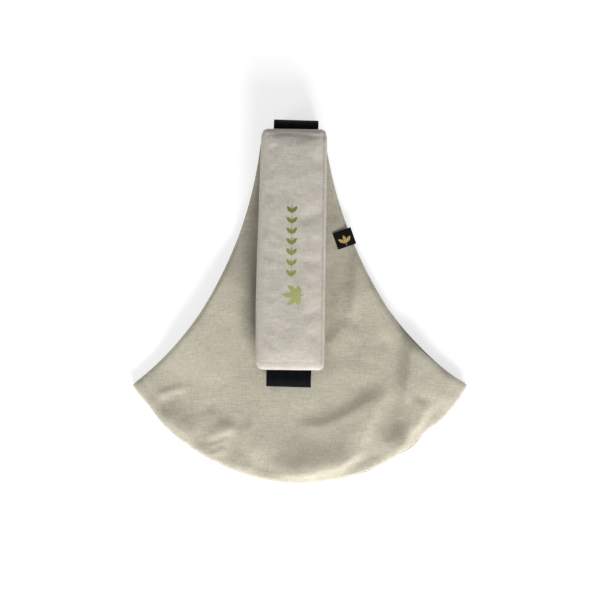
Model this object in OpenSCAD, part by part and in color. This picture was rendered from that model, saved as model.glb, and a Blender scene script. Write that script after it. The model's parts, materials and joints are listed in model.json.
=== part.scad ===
// One-shoulder soft baby carrier, laid flat on its back.
// X is across, Y points to the shoulder end, Z is up. Sizes are in millimetres.
// The sling pouch is two cloth panels sewn along the seat curve. The shoulder strap
// leaves the top edge, folds forward over the front panel and passes through a pad.

/* [View] */
// sub-part to draw

/* [Sling pouch] */
// width from corner to corner
sling_w = 387; // [370:1:404]
// height of the two lower corners
corner_y = -97.8; // [-102:0.2:-94]
// height of the top of the pouch cloth
apex_y = 180; // [176:1:184]
// radius of the seat curve
seat_r = 226; // [222:1:232]
// thickness of one outer cloth panel
cloth_t = 1.0; // [0.8:0.1:1.2]
// thickness of one lining
lining_t = 0.8; // [0.6:0.1:0.8]
// gap between the two linings where the child sits
pouch_gap = 6.2; // [6.2:0.1:7.0]
// width of the seam allowance along the seat curve
seam_w = 10; // [7:0.5:13]
// width of the folded hems along the leg curves
hem_w = 9; // [6:0.5:12]
// height at which the apex patches end
patch_y = 104.6; // [100:0.2:110]

/* [Shoulder strap] */
// width of the webbing
web_w = 51; // [49:0.5:51]
// thickness of the webbing
web_t = 1.6; // [1.4:0.1:1.6]
// angle of the strap from the Y axis
strap_tilt = 1.7; // [0:0.1:2]
// height where the strap folds over the top edge
top_fold_y = 195.2; // [193:0.2:197]
// height where the strap folds back to the buckle
bottom_fold_y = -89.5; // [-91:0.5:-89]
// height of the end of the free tail
tail_end_y = -10; // [-30:1:-6]

/* [Buckle] */
// width of the buckle
buckle_w = 62; // [60:1:62]
// thickness of the socket
socket_t = 12; // [12:0.2:12.4]
// width of one prong at its catch
prong_w = 11; // [8:0.5:11]

/* [Shoulder pad] */
// width of the pad across both edges
pad_w = 80; // [78:1:82]
// height of the top end of the pad
pad_top = 194.9; // [190:0.1:194.9]
// height of the bottom end of the pad
pad_bottom = -79.9; // [-81:0.1:-76]
// thickness of one leaf of the pad
leaf_t = 7; // [6.4:0.2:7]
// corner radius of the pad
pad_r = 7; // [5:0.5:9]
// angle of the pad from the Y axis
pad_tilt = 0.75; // [0:0.05:1.5]

/* [Label] */
// length of the side label from the edge inward
label_l = 22; // [18:1:22]
// height of the side label
label_h = 20; // [16:1:22]

/* [Hidden] */
$fn = 96;
eps = 0.01;

// circle through three points, as centre x, centre y and radius
function circle3(p, q, r) =
    let (
        d = 2 * (p[0] * (q[1] - r[1]) + q[0] * (r[1] - p[1]) + r[0] * (p[1] - q[1])),
        pp = p * p,
        qq = q * q,
        rr = r * r,
        cx = (pp * (q[1] - r[1]) + qq * (r[1] - p[1]) + rr * (p[1] - q[1])) / d,
        cy = (pp * (r[0] - q[0]) + qq * (p[0] - r[0]) + rr * (q[0] - p[0])) / d
    )
    [cx, cy, norm([cx - p[0], cy - p[1]])];

// points on an ellipse from angle a0 to a1, as [y, z]
function bend(cy, cz, ry, rz, a0, a1, n) =
    [for (i = [0:n]) let (a = a0 + (a1 - a0) * i / n) [cy + ry * cos(a), cz + rz * sin(a)]];

// unit normal of a path at point i; every path starts and ends level
function path_normal(p, i) =
    let (
        last = len(p) - 1,
        a = p[max(i - 1, 0)],
        b = p[min(i + 1, last)],
        d = (b - a) / norm(b - a)
    )
    (i == 0 || i == last) ? [0, sign(d[0])] : [-d[1], d[0]];

// closed outline of a strip of thickness t around a path
function strip_outline(p, t) = concat(
    [for (i = [0:len(p) - 1]) p[i] + path_normal(p, i) * t / 2],
    [for (i = [len(p) - 1:-1:0]) p[i] - path_normal(p, i) * t / 2]
);

// leg curves: the upper part is nearly straight and the lower part is rounder
knee_y = -12.65;
corner_x = sling_w / 2;
left_upper = circle3([-45.5, 178], [-77.6, 56.35], [-113.3, knee_y]);
left_lower = circle3([-113.3, knee_y], [-145.5, -54.05], [-corner_x, corner_y]);
right_upper = circle3([30, 178], [65.6, 56.35], [102.9, knee_y]);
right_lower = circle3([102.9, knee_y], [136, -54.05], [corner_x, corner_y]);
seat_cx = 0;
seat_cy = corner_y + sqrt(pow(seat_r, 2) - pow(corner_x, 2));

// heights of the layers
z_back_lining = cloth_t;
z_gap = cloth_t + lining_t;
hem_t = 0.6;
z_front_lining = z_gap + pouch_gap;
z_front_outer = z_front_lining + lining_t;
z_front = z_front_outer + cloth_t;
patch_t = 0.8;
z_anchor = z_front + patch_t;
z_stitch = z_anchor + web_t;
stitch_t = 0.4;
z_socket = z_stitch + 1.1;
z_buckle = z_socket + socket_t / 2;
z_pad = z_socket + socket_t + 1;
z_leaf = z_pad + leaf_t;
slot_t = web_t + 0.6;
z_run = z_leaf + slot_t / 2;
z_flap = z_leaf + slot_t;
z_top = z_flap + leaf_t;

// centre lines of the strap, as [y, z]
z_load = z_buckle - 3.4;
z_tail_up = z_buckle + 0.9;
z_tail_low = z_tail_up - web_t - 0.2;
inner_r = (z_tail_up - z_anchor - web_t / 2) / 2;
inner_y = 186.3;
bar_y = 138.5;
bar_r = 3.7;
ladder_y = 81;
z_back_anchor = z_gap + patch_t + web_t / 2;
top_rz = (z_run - z_back_anchor) / 2;
bottom_rz = (z_run - z_load) / 2;
tail_rest = z_load + web_t + 0.2;

top_fold_path = bend(top_fold_y, z_run - top_rz, 10.4, top_rz, 90, -90, 24);
inner_fold_path = bend(inner_y, z_tail_up - inner_r, inner_r, inner_r, 90, -90, 16);
bottom_fold_path = bend(bottom_fold_y, z_run - bottom_rz, 9.25, bottom_rz, 90, 270, 20);
ladder_path = bend(ladder_y, z_buckle, 3.4, 3.4, -90, 90, 14);
socket_path = concat(
    [[inner_y, z_tail_up], [162, z_tail_up], [148, z_buckle + bar_r], [bar_y + 4, z_buckle + bar_r]],
    bend(bar_y, z_buckle, bar_r, bar_r, 90, 270, 14),
    [[bar_y + 4, z_buckle - bar_r], [148, z_buckle - bar_r], [160, z_tail_low], [174, z_tail_low]]
);
tail_path = [
    [ladder_y, z_buckle + 3.4],
    [66, z_buckle + 3.4],
    [50, tail_rest],
    [tail_end_y, tail_rest]
];

// ---------------------------------------------------------------- shared shapes

// disc from a centre and radius, grown by g
module disc(c, g = 0) {
    translate([c[0], c[1]]) circle(r = c[2] + g, $fn = 360);
}

// half plane above or below the point where a leg curve changes radius
module band(low, high) {
    translate([-1200, low]) square([2400, high - low]);
}

// what one leg curve takes away, grown by g
module leg_cut(upper, lower, g) {
    intersection() {
        disc(upper, g);
        band(knee_y, 600);
    }
    intersection() {
        disc(lower, g);
        band(-600, knee_y);
    }
}

// outline of the pouch, inset all round
module fan(inset = 0, low = -400, high = 400) {
    intersection() {
        difference() {
            disc([seat_cx, seat_cy, seat_r], -inset);
            leg_cut(left_upper, left_lower, inset);
            leg_cut(right_upper, right_lower, inset);
        }
        band(max(low, -300), min(high, apex_y - inset));
    }
}

// hem strip along one leg curve, clear of the seat seam and the apex patch
module leg_band(upper, lower) {
    intersection() {
        fan(1.5, -400, patch_y - 0.4);
        leg_cut(upper, lower, 1.5 + hem_w);
        disc([seat_cx, seat_cy, seat_r], -seam_w - 2);
    }
}

module sheet(z, t) {
    translate([0, 0, z]) linear_extrude(height = t) children();
}

module on_strap() {
    translate([-10.3, 0, 0]) rotate([0, 0, -strap_tilt]) children();
}

module on_pad() {
    translate([-11, 0, 0]) rotate([0, 0, -pad_tilt]) children();
}

// strip of given width along X that follows a path of [y, z] points
module ribbon(path, width, t) {
    translate([-width / 2, 0, 0])
        rotate([90, 0, 90])
            linear_extrude(height = width) polygon(strip_outline(path, t));
}

// rounded rectangle between two corners
module slab(x0, y0, x1, y1, r) {
    translate([x0 + r, y0]) square([x1 - x0 - 2 * r, y1 - y0]);
    translate([x0, y0 + r]) square([x1 - x0, y1 - y0 - 2 * r]);
    for (x = [x0 + r, x1 - r], y = [y0 + r, y1 - r]) {
        translate([x, y]) circle(r = r);
    }
}

// block given by its lowest and highest corners
module block(p, q) {
    translate(p) cube(q - p);
}

// leaf shape of length l and width w, pointing along +Y from the origin
module leaf(l, w) {
    r = (pow(l / 2, 2) + pow(w / 2, 2)) / w;
    translate([0, l / 2]) intersection() {
        translate([r - w / 2, 0]) circle(r = r);
        translate([w / 2 - r, 0]) circle(r = r);
    }
}

// box of stitching with a cross in it, between two heights along the strap
module box_stitch(y0, y1, z) {
    half = web_w / 2 - 4;
    run = y1 - y0;
    a = atan2(run, 2 * half);
    diag = norm([run, 2 * half]) - 2;
    sheet(z, stitch_t) {
        for (y = [y0, y1 - 0.8]) {
            translate([-half, y]) square([2 * half, 0.8]);
        }
        for (x = [-half, half - 0.8]) {
            translate([x, y0]) square([0.8, run]);
        }
        for (s = [-1, 1]) {
            translate([0, (y0 + y1) / 2]) rotate(s * a) square([diag, 0.8], center = true);
        }
    }
}

// ---------------------------------------------------------------- sling pouch

module back_panel_outer() {
    color([0.66, 0.64, 0.57]) sheet(0, cloth_t) fan();
}

module back_panel_lining() {
    color([0.60, 0.58, 0.52]) sheet(z_back_lining, lining_t) fan(1.5);
}

module front_panel_lining() {
    color([0.60, 0.58, 0.52]) sheet(z_front_lining, lining_t) fan(1.5);
}

module front_panel_outer() {
    color([0.70, 0.68, 0.61]) sheet(z_front_outer, cloth_t) fan();
}

module seam_allowance() {
    color([0.66, 0.64, 0.57]) sheet(z_gap, pouch_gap) difference() {
        fan(1.5);
        disc([seat_cx, seat_cy, seat_r], -seam_w - 1.5);
    }
}

module back_hem_left() {
    color([0.66, 0.64, 0.57]) sheet(z_gap, hem_t) leg_band(left_upper, left_lower);
}

module back_hem_right() {
    color([0.66, 0.64, 0.57]) sheet(z_gap, hem_t) leg_band(right_upper, right_lower);
}

module front_hem_left() {
    color([0.66, 0.64, 0.57])
        sheet(z_front_lining - hem_t, hem_t) leg_band(left_upper, left_lower);
}

module front_hem_right() {
    color([0.66, 0.64, 0.57])
        sheet(z_front_lining - hem_t, hem_t) leg_band(right_upper, right_lower);
}

module back_apex_patch() {
    color([0.64, 0.62, 0.56]) sheet(z_gap, patch_t) fan(2, patch_y);
}

module front_apex_patch() {
    color([0.64, 0.62, 0.56]) sheet(z_front, patch_t) fan(1.2, patch_y);
}

module webbing_back_anchor() {
    color([0.05, 0.06, 0.08]) on_strap()
        block([-web_w / 2, 124, z_gap + patch_t],
              [web_w / 2, top_fold_y - 0.3, z_gap + patch_t + web_t]);
}

module back_anchor_stitch() {
    color([0.10, 0.11, 0.13]) on_strap() box_stitch(128, 172, z_gap + patch_t + web_t);
}

module webbing_front_anchor() {
    color([0.05, 0.06, 0.08]) on_strap()
        block([-web_w / 2, 120, z_anchor], [web_w / 2, inner_y - 0.3, z_anchor + web_t]);
}

module front_anchor_stitch() {
    color([0.10, 0.11, 0.13]) on_strap() box_stitch(124, 172, z_stitch);
}

// folded tab: two leaves and the fold at the inner end
module side_label() {
    z = z_front + 0.4;
    color([0.05, 0.05, 0.06]) translate([61.4, 74.5, 0]) rotate([0, 0, 19.5]) {
        block([-label_l, -label_h / 2, z], [0, label_h / 2, z + 0.7]);
        block([-label_l, -label_h / 2, z + 1], [0, label_h / 2, z + 1.7]);
        block([-label_l, -label_h / 2, z], [0.7 - label_l, label_h / 2, z + 1.7]);
    }
}

module label_motif() {
    z = z_front + 0.4 + 1.7;
    color([0.75, 0.62, 0.35]) translate([61.4, 74.5, 0]) rotate([0, 0, 19.5])
        sheet(z, 0.2) translate([-label_l / 2, -5]) {
            for (a = [-48, 0, 48]) {
                rotate(a) translate([0, 1]) leaf(9, 3.6);
            }
            translate([-0.4, -2]) square([0.8, 3.4]);
        }
}

// ---------------------------------------------------------------- shoulder strap

module webbing_inner_fold() {
    color([0.05, 0.06, 0.08]) on_strap() ribbon(inner_fold_path, web_w, web_t);
}

module webbing_socket_tail() {
    color([0.05, 0.06, 0.08]) on_strap() ribbon(socket_path, web_w, web_t);
}

module webbing_top_fold() {
    color([0.05, 0.06, 0.08]) on_strap() ribbon(top_fold_path, web_w, web_t);
}

module webbing_outer_run() {
    color([0.05, 0.06, 0.08]) on_strap()
        block([-web_w / 2, bottom_fold_y, z_run - web_t / 2],
              [web_w / 2, top_fold_y, z_run + web_t / 2]);
}

module webbing_bottom_fold() {
    color([0.05, 0.06, 0.08]) on_strap() ribbon(bottom_fold_path, web_w, web_t);
}

module webbing_inner_run() {
    color([0.05, 0.06, 0.08]) on_strap()
        block([-web_w / 2, bottom_fold_y, z_load - web_t / 2],
              [web_w / 2, ladder_y, z_load + web_t / 2]);
}

module webbing_ladder_loop() {
    color([0.05, 0.06, 0.08]) on_strap() ribbon(ladder_path, web_w, web_t);
}

module webbing_free_tail() {
    color([0.05, 0.06, 0.08]) on_strap() ribbon(tail_path, web_w, web_t);
}

// end of the tail folded over twice, so it can't slip through the ladder
module tail_end_hem() {
    color([0.06, 0.07, 0.09]) on_strap()
        block([-web_w / 2, tail_end_y, tail_rest + web_t / 2],
              [web_w / 2, tail_end_y + 12, tail_rest + web_t * 1.5]);
}

module elastic_keeper() {
    low = z_load - web_t / 2 - 0.5;
    high = tail_rest + web_t / 2 + 0.5;
    color([0.08, 0.09, 0.11]) on_strap() difference() {
        block([-web_w / 2 - 2.2, 24, low - 1], [web_w / 2 + 2.2, 34, high + 1]);
        block([-web_w / 2 - 0.8, 23, low], [web_w / 2 + 0.8, 35, high]);
    }
}

// ---------------------------------------------------------------- buckle

// socket: two plates on a rear block, with guide ribs, open sides and a bar for the webbing
module buckle_socket() {
    w = buckle_w / 2;
    low = z_socket;
    high = z_socket + socket_t;
    color([0.07, 0.07, 0.08]) on_strap() {
        difference() {
            sheet(low, socket_t) slab(-w, 99, w, 131, 4);
            block([-w - 1, 98, low + 2], [w + 1, 122, high - 2]);
        }
        for (s = [-1, 1]) {
            block([s * 7.5 - 1.2, 102, low + 2 - eps], [s * 7.5 + 1.2, 122 + eps, high - 2 + eps]);
            sheet(low + 1, socket_t - 2)
                slab(s * (w - 2.2) - 2, 128, s * (w - 2.2) + 2, 144, 1.8);
        }
        translate([-w + 2, bar_y, z_buckle]) rotate([0, 90, 0]) cylinder(r = 2.5, h = 2 * w - 4);
    }
}

// plug: head, guide tongue, side cheeks and two ladder bars
module buckle_plug() {
    w = buckle_w / 2;
    low = z_buckle - 4;
    high = z_buckle + 4;
    color([0.07, 0.07, 0.08]) on_strap() {
        sheet(low, 8) slab(-w, 92, w, 98.6, 2.5);
        sheet(z_buckle - 3, 6) slab(-5.4, 95, 5.4, 119, 2.5);
        for (s = [-1, 1]) {
            sheet(low, 8) slab(s * (w - 1.9) - 1.9, 66, s * (w - 1.9) + 1.9, 96, 1.8);
        }
        translate([-w + 2, ladder_y, z_buckle])
            rotate([0, 90, 0]) cylinder(r = 2.2, h = 2 * w - 4);
        block([-w + 2, 68, z_buckle - 1.6], [w - 2, 72, z_buckle + 1.6]);
    }
}

// spring prong: round root, arm and outer catch with a rounded tip
module prong() {
    sheet(z_buckle - 3.2, 6.4) {
        translate([22, 102.2]) circle(r = 3);
        translate([20.4, 102]) square([3.6, 14]);
        slab(28.6 - prong_w, 108, 28.6, 120, 2.4);
    }
}

module prong_left() {
    color([0.09, 0.09, 0.10]) on_strap() mirror([1, 0, 0]) prong();
}

module prong_right() {
    color([0.09, 0.09, 0.10]) on_strap() prong();
}

// ---------------------------------------------------------------- shoulder pad

// outline of one leaf, inset from the right edge and from both ends
module leaf_outline(left, right, top, bottom, r) {
    slab(5.2 - pad_w / 2 + left, pad_bottom + bottom, pad_w / 2 - right, pad_top - top, r);
}

// stacked outlines of a leaf: a flat flange and the padded rise, from the flange side up
module leaf_body() {
    sheet(0, 2.4) leaf_outline(0, 0, 0, 0, pad_r);
    sheet(2.4 - eps, leaf_t - 2.4 + eps) leaf_outline(0, 6, 6, 9.4, pad_r);
}

module leaf_filling() {
    sheet(1, leaf_t - 2) leaf_outline(1.6, 8, 8, 11.4, pad_r - 2);
}

module pad_back_cover() {
    color([0.66, 0.64, 0.58]) on_pad() translate([0, 0, z_leaf]) mirror([0, 0, 1]) difference() {
        leaf_body();
        leaf_filling();
    }
}

module pad_back_foam() {
    color([0.85, 0.84, 0.80]) on_pad()
        translate([0, 0, z_leaf]) mirror([0, 0, 1]) leaf_filling();
}

module loop_tape() {
    color([0.30, 0.29, 0.27]) on_pad()
        sheet(z_leaf, 0.8) slab(pad_w / 2 - 9, pad_bottom + 14, pad_w / 2 - 1.5, pad_top - 14, 1);
}

module pad_front_cover() {
    color([0.74, 0.72, 0.67]) on_pad() translate([0.3, 0, z_flap]) difference() {
        leaf_body();
        leaf_filling();
    }
}

module pad_front_foam() {
    color([0.85, 0.84, 0.80]) on_pad() translate([0.3, 0, z_flap]) leaf_filling();
}

module hook_tape() {
    color([0.25, 0.24, 0.22]) on_pad()
        sheet(z_flap - 0.8, 0.8)
            slab(pad_w / 2 - 9, pad_bottom + 14, pad_w / 2 - 1.5, pad_top - 14, 1);
}

// fold that the two leaves open on, a strip of cloth bent round the left edge
module pad_spine() {
    h = (z_top - z_pad) / 2;
    color([0.64, 0.62, 0.56]) on_pad()
        translate([5.1 - pad_w / 2, pad_top - pad_r, z_pad + h])
            rotate([90, 0, 0])
                linear_extrude(height = pad_top - pad_bottom - 2 * pad_r)
                    polygon(strip_outline(bend(0, 0, 4.4, h - 0.8, 90, 270, 20), 1.6));
}

// rolled hem across the bottom end of the front leaf
module pad_end_hem() {
    color([0.80, 0.78, 0.73]) on_pad()
        sheet(z_flap + 2.4, 2.6)
            slab(8 - pad_w / 2, pad_bottom + 0.5, pad_w / 2 - 1, pad_bottom + 9, 3);
}

// line of stitching along the right-hand flange
module pad_edge_stitch() {
    color([0.60, 0.58, 0.52]) on_pad()
        sheet(z_flap + 2.4, stitch_t)
            translate([pad_w / 2 - 3.4, pad_bottom + 12])
                square([0.8, pad_top - pad_bottom - 24]);
}

// printed row of small leaves
module pad_print_bar() {
    color([0.50, 0.50, 0.30]) on_pad() sheet(z_top, 0.2) {
        for (i = [0:6], s = [-1, 1]) {
            translate([0.6, 27 + i * 12]) rotate(s * 38) leaf(9.4, 3.8);
        }
        translate([0.2, 25]) square([0.8, 84]);
    }
}

// printed sprig of five leaves on a short stem, its tip toward the pad's fold
module pad_print_emblem() {
    color([0.56, 0.57, 0.37]) on_pad() sheet(z_top, 0.2) translate([10.9, 5.3]) rotate(90) {
        for (a = [-76, -38, 0, 38, 76]) {
            rotate(a) translate([0, 1]) leaf(8 + 11.5 * cos(a), 5.6);
        }
        circle(r = 1.8);
        translate([-0.7, -4]) square([1.4, 4]);
    }
}

// ---------------------------------------------------------------- assembly

back_panel_outer();
back_panel_lining();
front_panel_lining();
front_panel_outer();
seam_allowance();
back_hem_left();
back_hem_right();
front_hem_left();
front_hem_right();
back_apex_patch();
front_apex_patch();
webbing_back_anchor();
back_anchor_stitch();
webbing_front_anchor();
front_anchor_stitch();
side_label();
label_motif();
webbing_inner_fold();
webbing_socket_tail();
webbing_top_fold();
webbing_outer_run();
webbing_bottom_fold();
webbing_inner_run();
webbing_ladder_loop();
webbing_free_tail();
tail_end_hem();
elastic_keeper();
buckle_socket();
buckle_plug();
prong_left();
prong_right();
pad_back_cover();
pad_back_foam();
loop_tape();
pad_front_cover();
pad_front_foam();
hook_tape();
pad_spine();
pad_end_hem();
pad_edge_stitch();
pad_print_bar();
pad_print_emblem();
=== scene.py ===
"""Soft baby carrier: cloth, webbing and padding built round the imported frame."""

import json
import logging
import math
from dataclasses import dataclass, field, replace
from enum import Enum
from typing import Callable, Sequence

import bpy
import numpy as np
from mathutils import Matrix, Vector
from mathutils.bvhtree import BVHTree


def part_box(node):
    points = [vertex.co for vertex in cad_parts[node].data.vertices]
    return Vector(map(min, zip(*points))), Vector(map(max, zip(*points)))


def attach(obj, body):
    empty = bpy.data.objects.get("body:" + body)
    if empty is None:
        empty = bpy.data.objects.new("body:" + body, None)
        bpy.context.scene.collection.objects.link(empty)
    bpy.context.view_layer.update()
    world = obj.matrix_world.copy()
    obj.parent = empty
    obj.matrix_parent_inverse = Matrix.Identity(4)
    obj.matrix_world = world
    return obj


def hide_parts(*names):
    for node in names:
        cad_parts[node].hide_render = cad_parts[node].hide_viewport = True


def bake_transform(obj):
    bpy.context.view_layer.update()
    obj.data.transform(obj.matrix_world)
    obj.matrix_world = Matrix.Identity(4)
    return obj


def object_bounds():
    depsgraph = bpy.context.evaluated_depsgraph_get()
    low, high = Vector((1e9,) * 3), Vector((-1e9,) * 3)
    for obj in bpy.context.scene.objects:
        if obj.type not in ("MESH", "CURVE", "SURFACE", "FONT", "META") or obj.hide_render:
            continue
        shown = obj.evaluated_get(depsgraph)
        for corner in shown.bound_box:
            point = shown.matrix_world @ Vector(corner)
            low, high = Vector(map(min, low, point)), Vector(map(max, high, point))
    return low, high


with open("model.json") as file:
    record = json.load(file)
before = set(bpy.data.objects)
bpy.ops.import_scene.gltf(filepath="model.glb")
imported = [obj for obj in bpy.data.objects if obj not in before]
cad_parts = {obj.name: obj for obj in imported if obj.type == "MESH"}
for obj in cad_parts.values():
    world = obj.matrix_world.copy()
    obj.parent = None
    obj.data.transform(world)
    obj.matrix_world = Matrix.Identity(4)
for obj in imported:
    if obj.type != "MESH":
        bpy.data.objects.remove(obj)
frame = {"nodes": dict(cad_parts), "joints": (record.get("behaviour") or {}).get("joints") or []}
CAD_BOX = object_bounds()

log = logging.getLogger("carrier")

MM = 0.001
Colour = tuple[float, float, float]
Array = np.ndarray
Item = bpy.types.Object
Finish = bpy.types.Material
Socket = bpy.types.NodeSocket
# Place lays out the unit square, Height gives a surface over X and Y, and Floor a piece's lower
# face under its upper one. A Stamp is a printed leaf: its root across and along, turn, length, width.
Place = Callable[[Array, Array], Array]
Height = Callable[[Array, Array], Array]
Floor = Callable[[Array, Array, Array], Array | float]
Stamp = tuple[float, float, float, float, float]


class Side(Enum):
    """The two leg edges of the sling."""

    LEFT = -1
    RIGHT = 1


class Ply(Enum):
    """The two panels of the pouch."""

    BACK = 0
    FRONT = 1


class Thread(Enum):
    """How a line of stitching is sewn."""

    TOPSTITCH = (3.0, 2.1, 0.36)
    HEAVY = (3.6, 2.8, 0.34)


def smoothstep(value: Array) -> Array:
    """Returns a soft step from 0 to 1 as value goes from 0 to 1."""
    t = np.clip(value, 0, 1)
    return t * t * (3 - 2 * t)


def bell(value: Array, wide: float | Array) -> Array:
    """Returns a soft bump: 1 where value is 0, and next to nothing two widths away."""
    return np.exp(-((value / wide) ** 2))


def stack(*columns: Array) -> Array:
    """Returns points as rows from their coordinates."""
    return np.stack(columns, axis=1)


# ---------------------------------------------------------------- finishes


class Dye:
    """One material and the nodes laid into it."""

    def __init__(self, name: str) -> None:
        """Starts an empty material of that name.

        Args:
            name: the material's name.
        """
        self.material = bpy.data.materials.new(name)
        self.material.use_nodes = True
        self.nodes = self.material.node_tree.nodes
        self.links = self.material.node_tree.links
        self.nodes.clear()
        out = self.nodes.new("ShaderNodeOutputMaterial")
        self.shader = self.nodes.new("ShaderNodeBsdfPrincipled")
        self.links.new(self.shader.outputs[0], out.inputs[0])

    def node(self, kind: str, source: Socket, into: str | int = 0, **settings: object) -> bpy.types.Node:
        """Adds a node fed by a socket.

        Args:
            kind: the node's type, without its ShaderNode.
            source: what feeds it.
            into: the input that is fed.
            settings: the node's own settings by name.

        Returns:
            The node.
        """
        node = self.nodes.new(f"ShaderNode{kind}")
        for name, value in settings.items():
            setattr(node, name, value)
        self.links.new(source, node.inputs[into])
        return node

    def surface(self, **values: float) -> None:
        """Sets the shader's own sockets by name, with underscores for spaces."""
        for name, value in values.items():
            self.shader.inputs[name.replace("_", " ")].default_value = value

    def coords(self, kind: str = "Object") -> Socket:
        """Returns the texture coordinate of that kind."""
        return self.nodes.new("ShaderNodeTexCoord").outputs[kind]

    def mapped(self, source: Socket, scale: Sequence[float], turn: float = 0.0) -> Socket:
        """Returns a coordinate scaled along each axis and turned about Z.

        Args:
            source: the coordinate.
            scale: the scale along each axis.
            turn: the turn about Z, in radians.

        Returns:
            The mapped coordinate.
        """
        node = self.node("Mapping", source, "Vector")
        node.inputs["Scale"].default_value = tuple(scale)
        node.inputs["Rotation"].default_value = (0.0, 0.0, turn)
        return node.outputs["Vector"]

    def noise(self, source: Socket, scale: float, detail: float = 2.0) -> Socket:
        """Returns a noise value over a coordinate.

        Args:
            source: the coordinate.
            scale: how many grains there are to a metre.
            detail: how many finer layers it has.

        Returns:
            The noise, from 0 to 1.
        """
        node = self.node("TexNoise", source, "Vector")
        node.inputs["Scale"].default_value = scale
        node.inputs["Detail"].default_value = detail
        return node.outputs["Fac"]

    def wave(self, source: Socket, axis: str, period: float, wander: float = 0.0) -> Socket:
        """Returns parallel ribs across a coordinate.

        Args:
            source: the coordinate.
            axis: X or Y, the way across the ribs.
            period: the distance from rib to rib.
            wander: how much the ribs stray.

        Returns:
            The ribs' height from 0 to 1.
        """
        node = self.node("TexWave", source, "Vector", wave_type="BANDS", bands_direction=axis)
        node.inputs["Scale"].default_value = 2 * math.pi / (20 * period)
        node.inputs["Distortion"].default_value = wander
        node.inputs["Detail Scale"].default_value = 0.6
        return node.outputs["Fac"]

    def weave(self, source: Socket, pitch: float) -> Socket:
        """Returns the threads of a plain weave, from 0 between them to 1 on top."""
        return self.math("MAXIMUM", self.wave(source, "X", pitch, 0.9), self.wave(source, "Y", pitch * 1.08, 0.9))

    def part(self, source: Socket, axis: int) -> Socket:
        """Returns one of the three parts of a coordinate."""
        return self.node("SeparateXYZ", source).outputs[axis]

    def math(self, operation: str, a: Socket | float, b: Socket | float = 0.0) -> Socket:
        """Returns a sum, product or other operation on two values.

        Args:
            operation: the sum's name.
            a: the first value.
            b: the second value.

        Returns:
            The result.
        """
        node = self.nodes.new("ShaderNodeMath")
        node.operation = operation
        for socket, value in zip(node.inputs, (a, b)):
            if isinstance(value, (int, float)):
                socket.default_value = value
            else:
                self.links.new(value, socket)
        return node.outputs[0]

    def length(self, source: Socket) -> Socket:
        """Returns how far a coordinate is from the middle."""
        return self.node("VectorMath", source, operation="LENGTH").outputs["Value"]

    def blend(
        self, factor: Socket, low: Colour | float, high: Colour | float, start: float = 0.3, end: float = 0.7
    ) -> Socket:
        """Returns a colour or grey that runs from low to high as factor goes from start to end.

        Args:
            factor: what the tone follows.
            low: the tone up to start.
            high: the tone from end on.
            start: where the low tone ends.
            end: where the high tone starts.

        Returns:
            The tone.
        """
        node = self.node("ValToRGB", factor, "Fac")
        for element, tone, position in zip(node.color_ramp.elements, (low, high), (start, end)):
            element.position = position
            element.color = (*(tone if isinstance(tone, tuple) else (tone,) * 3), 1.0)
        return node.outputs["Color"]

    def shades(self, factor: Socket, colour: Colour, low: float, high: float) -> Socket:
        """Returns a colour that runs from low to high times itself."""
        return self.blend(factor, tuple(c * low for c in colour), tuple(c * high for c in colour))

    def multiply(self, a: Socket, b: Socket) -> Socket:
        """Returns two colours multiplied."""
        node = self.node("Mix", a, 6, data_type="RGBA", blend_type="MULTIPLY")
        node.inputs[0].default_value = 1.0
        self.links.new(b, node.inputs[7])
        return node.outputs[2]

    def colour(self, source: Socket) -> None:
        """Gives the shader its colour."""
        self.links.new(source, self.shader.inputs["Base Color"])

    def relief(self, height: Socket, depth: float, strength: float = 1.0) -> None:
        """Raises the surface where height is 1 by a depth in metres.

        Args:
            height: the height, from 0 to 1.
            depth: how far 1 stands up, in metres.
            strength: how strongly it shows.
        """
        node = self.node("Bump", height, "Height")
        node.inputs["Distance"].default_value = depth
        node.inputs["Strength"].default_value = strength
        self.links.new(node.outputs["Normal"], self.shader.inputs["Normal"])


@dataclass(frozen=True)
class CanvasFinish:
    """Plain-weave cotton canvas with slubs, a faint heather and painted shade between its threads."""

    name: str
    colour: Colour
    pitch: float = 0.85 * MM
    depth: float = 0.16 * MM
    heather: float = 0.20
    mottle: float = 0.06
    turn: float = 0.0
    warp_slub: tuple[float, float, float] = (100, 1200, 150)
    weft_slub: tuple[float, float, float] = (1300, 220, 150)

    def make(self) -> Finish:
        """Returns the material."""
        dye = Dye(self.name)
        at = dye.mapped(dye.coords(), (1, 1, 1), self.turn)
        weave = dye.weave(at, self.pitch)
        slubs = dye.math("ADD", *(dye.noise(dye.mapped(at, slub), 1.0) for slub in (self.warp_slub, self.weft_slub)))
        height = dye.math("ADD", weave, dye.math("MULTIPLY", slubs, 0.8))
        dye.relief(height, self.depth, 0.6)
        fine = dye.blend(dye.math("MULTIPLY", slubs, 0.5), 1 - self.heather, 1 + self.heather * 0.6, 0.36, 0.64)
        broad = dye.blend(dye.noise(at, 28.0, 3.0), 1 - self.mottle, 1.0, 0.35, 0.65)
        # painted shade: the colour darkens between the threads, where the weave dips
        gap = dye.blend(weave, 0.86, 1.0, 0.15, 0.6)
        base = dye.shades(dye.noise(at, 9.0, 1.0), self.colour, 1.0, 1.03)
        dye.colour(dye.multiply(dye.multiply(base, fine), dye.multiply(broad, gap)))
        dye.surface(Roughness=0.95, Specular_IOR_Level=0.12, Sheen_Weight=0.12, Sheen_Roughness=0.6)
        return dye.material


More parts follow.
